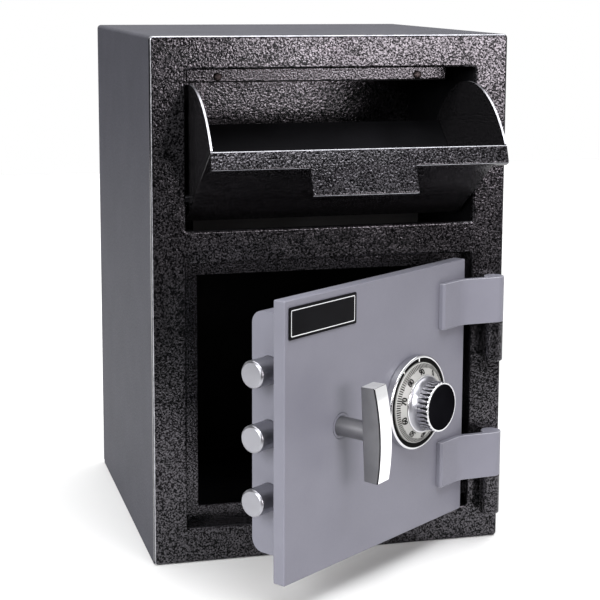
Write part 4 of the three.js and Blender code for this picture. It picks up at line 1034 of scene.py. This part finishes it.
# By the outline point's index: each flute's depth, and the height of its wave from which it is dark with painted
# shade
flute_depth = {9: 0.1, 10: 0.4, 11: 0.8, 12: 1.1, 13: 1.3, 14: 1.2, 15: 0.4}
shade_from = {9: 0.97, 10: 0.85, 11: 0.7, 12: 0.6, 13: 0.5}
flare_low, flare_high = knob[9][1], knob[14][1]


def flute_wave(angle):
    return 0.5 - 0.5 * math.cos(FLUTE_COUNT * angle)


def flutes(i, angle):
    return -flute_depth.get(i, 0) * flute_wave(angle) ** FLUTE_NARROWING


def in_shaded_flute(co, no):
    level = max((i for i in shade_from if knob[i][1] <= co.z), default=None)
    if level is None or co.z >= flare_high or co.xy.length <= CAP_WELL + LAP:
        return False
    return flute_wave(math.atan2(co.y, co.x)) > shade_from[level]


knob_mesh = turned(knob, KNOB_STEPS, ripple=flutes)
# Painted shade: the flank between the foot and the flutes is a darker, duller steel
mark(knob_mesh, 2, lambda co, no: FOOT_TOP < co.z < flare_low and co.xy.length > CAP_WELL + LAP)
# Painted shade: the inside of each flute is near-black metal
mark(knob_mesh, 1, in_shaded_flute)
piece("dial_knob_form", knob_mesh, "dial", "chrome", [chrome, dark_metal_and_shade, bolt_steel], "dial_knob",
      pose=DIAL_POSE, sharp=50)

shoulder_radius, shoulder_height = CAP_SHOULDER
dome = [
    (shoulder_radius * math.cos(a), shoulder_height + CAP_RISE * math.sin(a)) for a in DOME_ANGLES
]
cap = [(0, CAP_FLOOR + SEAT), (CAP_RADIUS, CAP_FLOOR + SEAT), (CAP_RADIUS, KNOB_FRONT), CAP_SHOULDER, *dome,
       (0, shoulder_height + CAP_RISE)]
piece("dial_cap_form", turned(cap), "dial", "cap_plastic", [cap_plastic], "dial_cap", pose=DIAL_POSE)

# The model's own pieces: rounded edges, and dark pins
NODE_EDGE = 0.3
NODE_EDGE_ANGLE = 50

for name in ("partition_shelf", "chute_wall_left", "chute_wall_right", "chute_back_wall", "header_angle",
             "hopper_tray", "hopper_bumper", "base_panel", "bolt_guide", "bolt_carriage", "handle_crank",
             "handle_nut", "lock_case", "lock_cover", "hopper_pin_left", "hopper_pin_right"):
    weld = nodes[name].modifiers.new("weld", "WELD")
    weld.merge_threshold = WELD
    bevel = nodes[name].modifiers.new("edge", "BEVEL")
    bevel.width = NODE_EDGE * MM
    bevel.segments = 2
    bevel.limit_method = "ANGLE"
    bevel.angle_limit = math.radians(NODE_EDGE_ANGLE)
for name in ("hopper_stop_left", "hopper_stop_right", "hopper_pin_left", "hopper_pin_right"):
    nodes[name].data.materials[0] = dark_metal_and_shade

# Studio: the camera sees white, and the paint reflects a room that is bright behind the safe and to its right
AMBIENT = 0.09

scene.view_settings.view_transform = "Standard"
world = bpy.data.worlds.new("studio")
scene.world = world
world.use_nodes = True
tree = world.node_tree
background = tree.nodes["Background"]
path = tree.nodes.new("ShaderNodeLightPath")
direction = tree.nodes.new("ShaderNodeTexCoord")
across = tree.nodes.new("ShaderNodeSeparateXYZ")
tree.links.new(direction.outputs["Generated"], across.inputs["Vector"])


def combined(kind, first, second):
    made = tree.nodes.new("ShaderNodeMath")
    made.operation = kind
    tree.links.new(first, made.inputs[0])
    tree.links.new(second, made.inputs[1])
    return made.outputs["Value"]


behind = spread(tree, across.outputs["Y"], low=0, high=1, start=0.5, end=0.9)
above = spread(tree, across.outputs["Z"], low=0, high=1.2, start=0.03, end=0.2)
right = spread(tree, across.outputs["X"], low=0, high=0.85, start=0.55, end=0.9)
shiny = tree.nodes.new("ShaderNodeMix")
shiny.inputs["A"].default_value = AMBIENT
tree.links.new(path.outputs["Is Glossy Ray"], shiny.inputs["Factor"])
tree.links.new(combined("MAXIMUM", right, combined("MULTIPLY", behind, above)), shiny.inputs["B"])
seen = combined("MAXIMUM", shiny.outputs["Result"], path.outputs["Is Camera Ray"])
background.inputs["Color"].default_value = (1, 1, 1, 1)
tree.links.new(seen, background.inputs["Strength"])

# Floor, in metres
FLOOR_MIDDLE = (0.65, 1.125, -0.0005)
FLOOR_SIZE = (4.7, 3.75, 1)
FLOOR_GLOW = 0.06
GREYS = ((0.575,) * 3, (0.58,) * 3, (0.585,) * 3)

floor_paint, floor_tree, floor_shader = surface("floor_paint", GREYS[1], roughness=0.6, specular=0.1)
floor_shade = ramp(floor_tree, noise(floor_tree, scale=3), GREYS[0], GREYS[2])
floor_tree.links.new(floor_shade, floor_shader.inputs["Base Color"])
floor_shader.inputs["Emission Color"].default_value = (1, 1, 1, 1)
floor_shader.inputs["Emission Strength"].default_value = FLOOR_GLOW
bpy.ops.mesh.primitive_plane_add(size=1, location=FLOOR_MIDDLE)
floor = bpy.context.object
floor.scale = FLOOR_SIZE
floor.name = "floor"
floor.data.materials.append(floor_paint)


# Lights, in metres and watts
def panel_light(name, place, target, width, height, power, color):
    data = bpy.data.lights.new(name, "AREA")
    data.shape = "RECTANGLE"
    data.size = width
    data.size_y = height
    data.energy = power
    data.color = color
    made = bpy.data.objects.new(name, data)
    scene.collection.objects.link(made)
    made.location = place
    made.rotation_euler = (Vector(target) - Vector(place)).to_track_quat("-Z", "Y").to_euler()


def daylight(name, towards, strength, angle):
    """Even light from far away, from a direction that points towards it."""
    data = bpy.data.lights.new(name, "SUN")
    data.energy = strength
    data.angle = math.radians(angle)
    made = bpy.data.objects.new(name, data)
    scene.collection.objects.link(made)
    made.rotation_euler = Vector(towards).to_track_quat("Z", "Y").to_euler()


panel_light("key", place=(0.85, -2.1, 0.62), target=(0.2, -0.178, 0.45), width=1.0, height=0.6, power=24,
            color=(1, 0.94, 0.95))
panel_light("overhead", place=(0.15, -1.32, 1.72), target=(0.05, -0.2, 0.4), width=1.2, height=0.5, power=25,
            color=(0.97, 0.98, 1))
daylight("ceiling", towards=(0.14, 0.1, 0.98), strength=4.6, angle=70)
daylight("fill", towards=(-1.9, -1.6, 1.0), strength=4.5, angle=40)
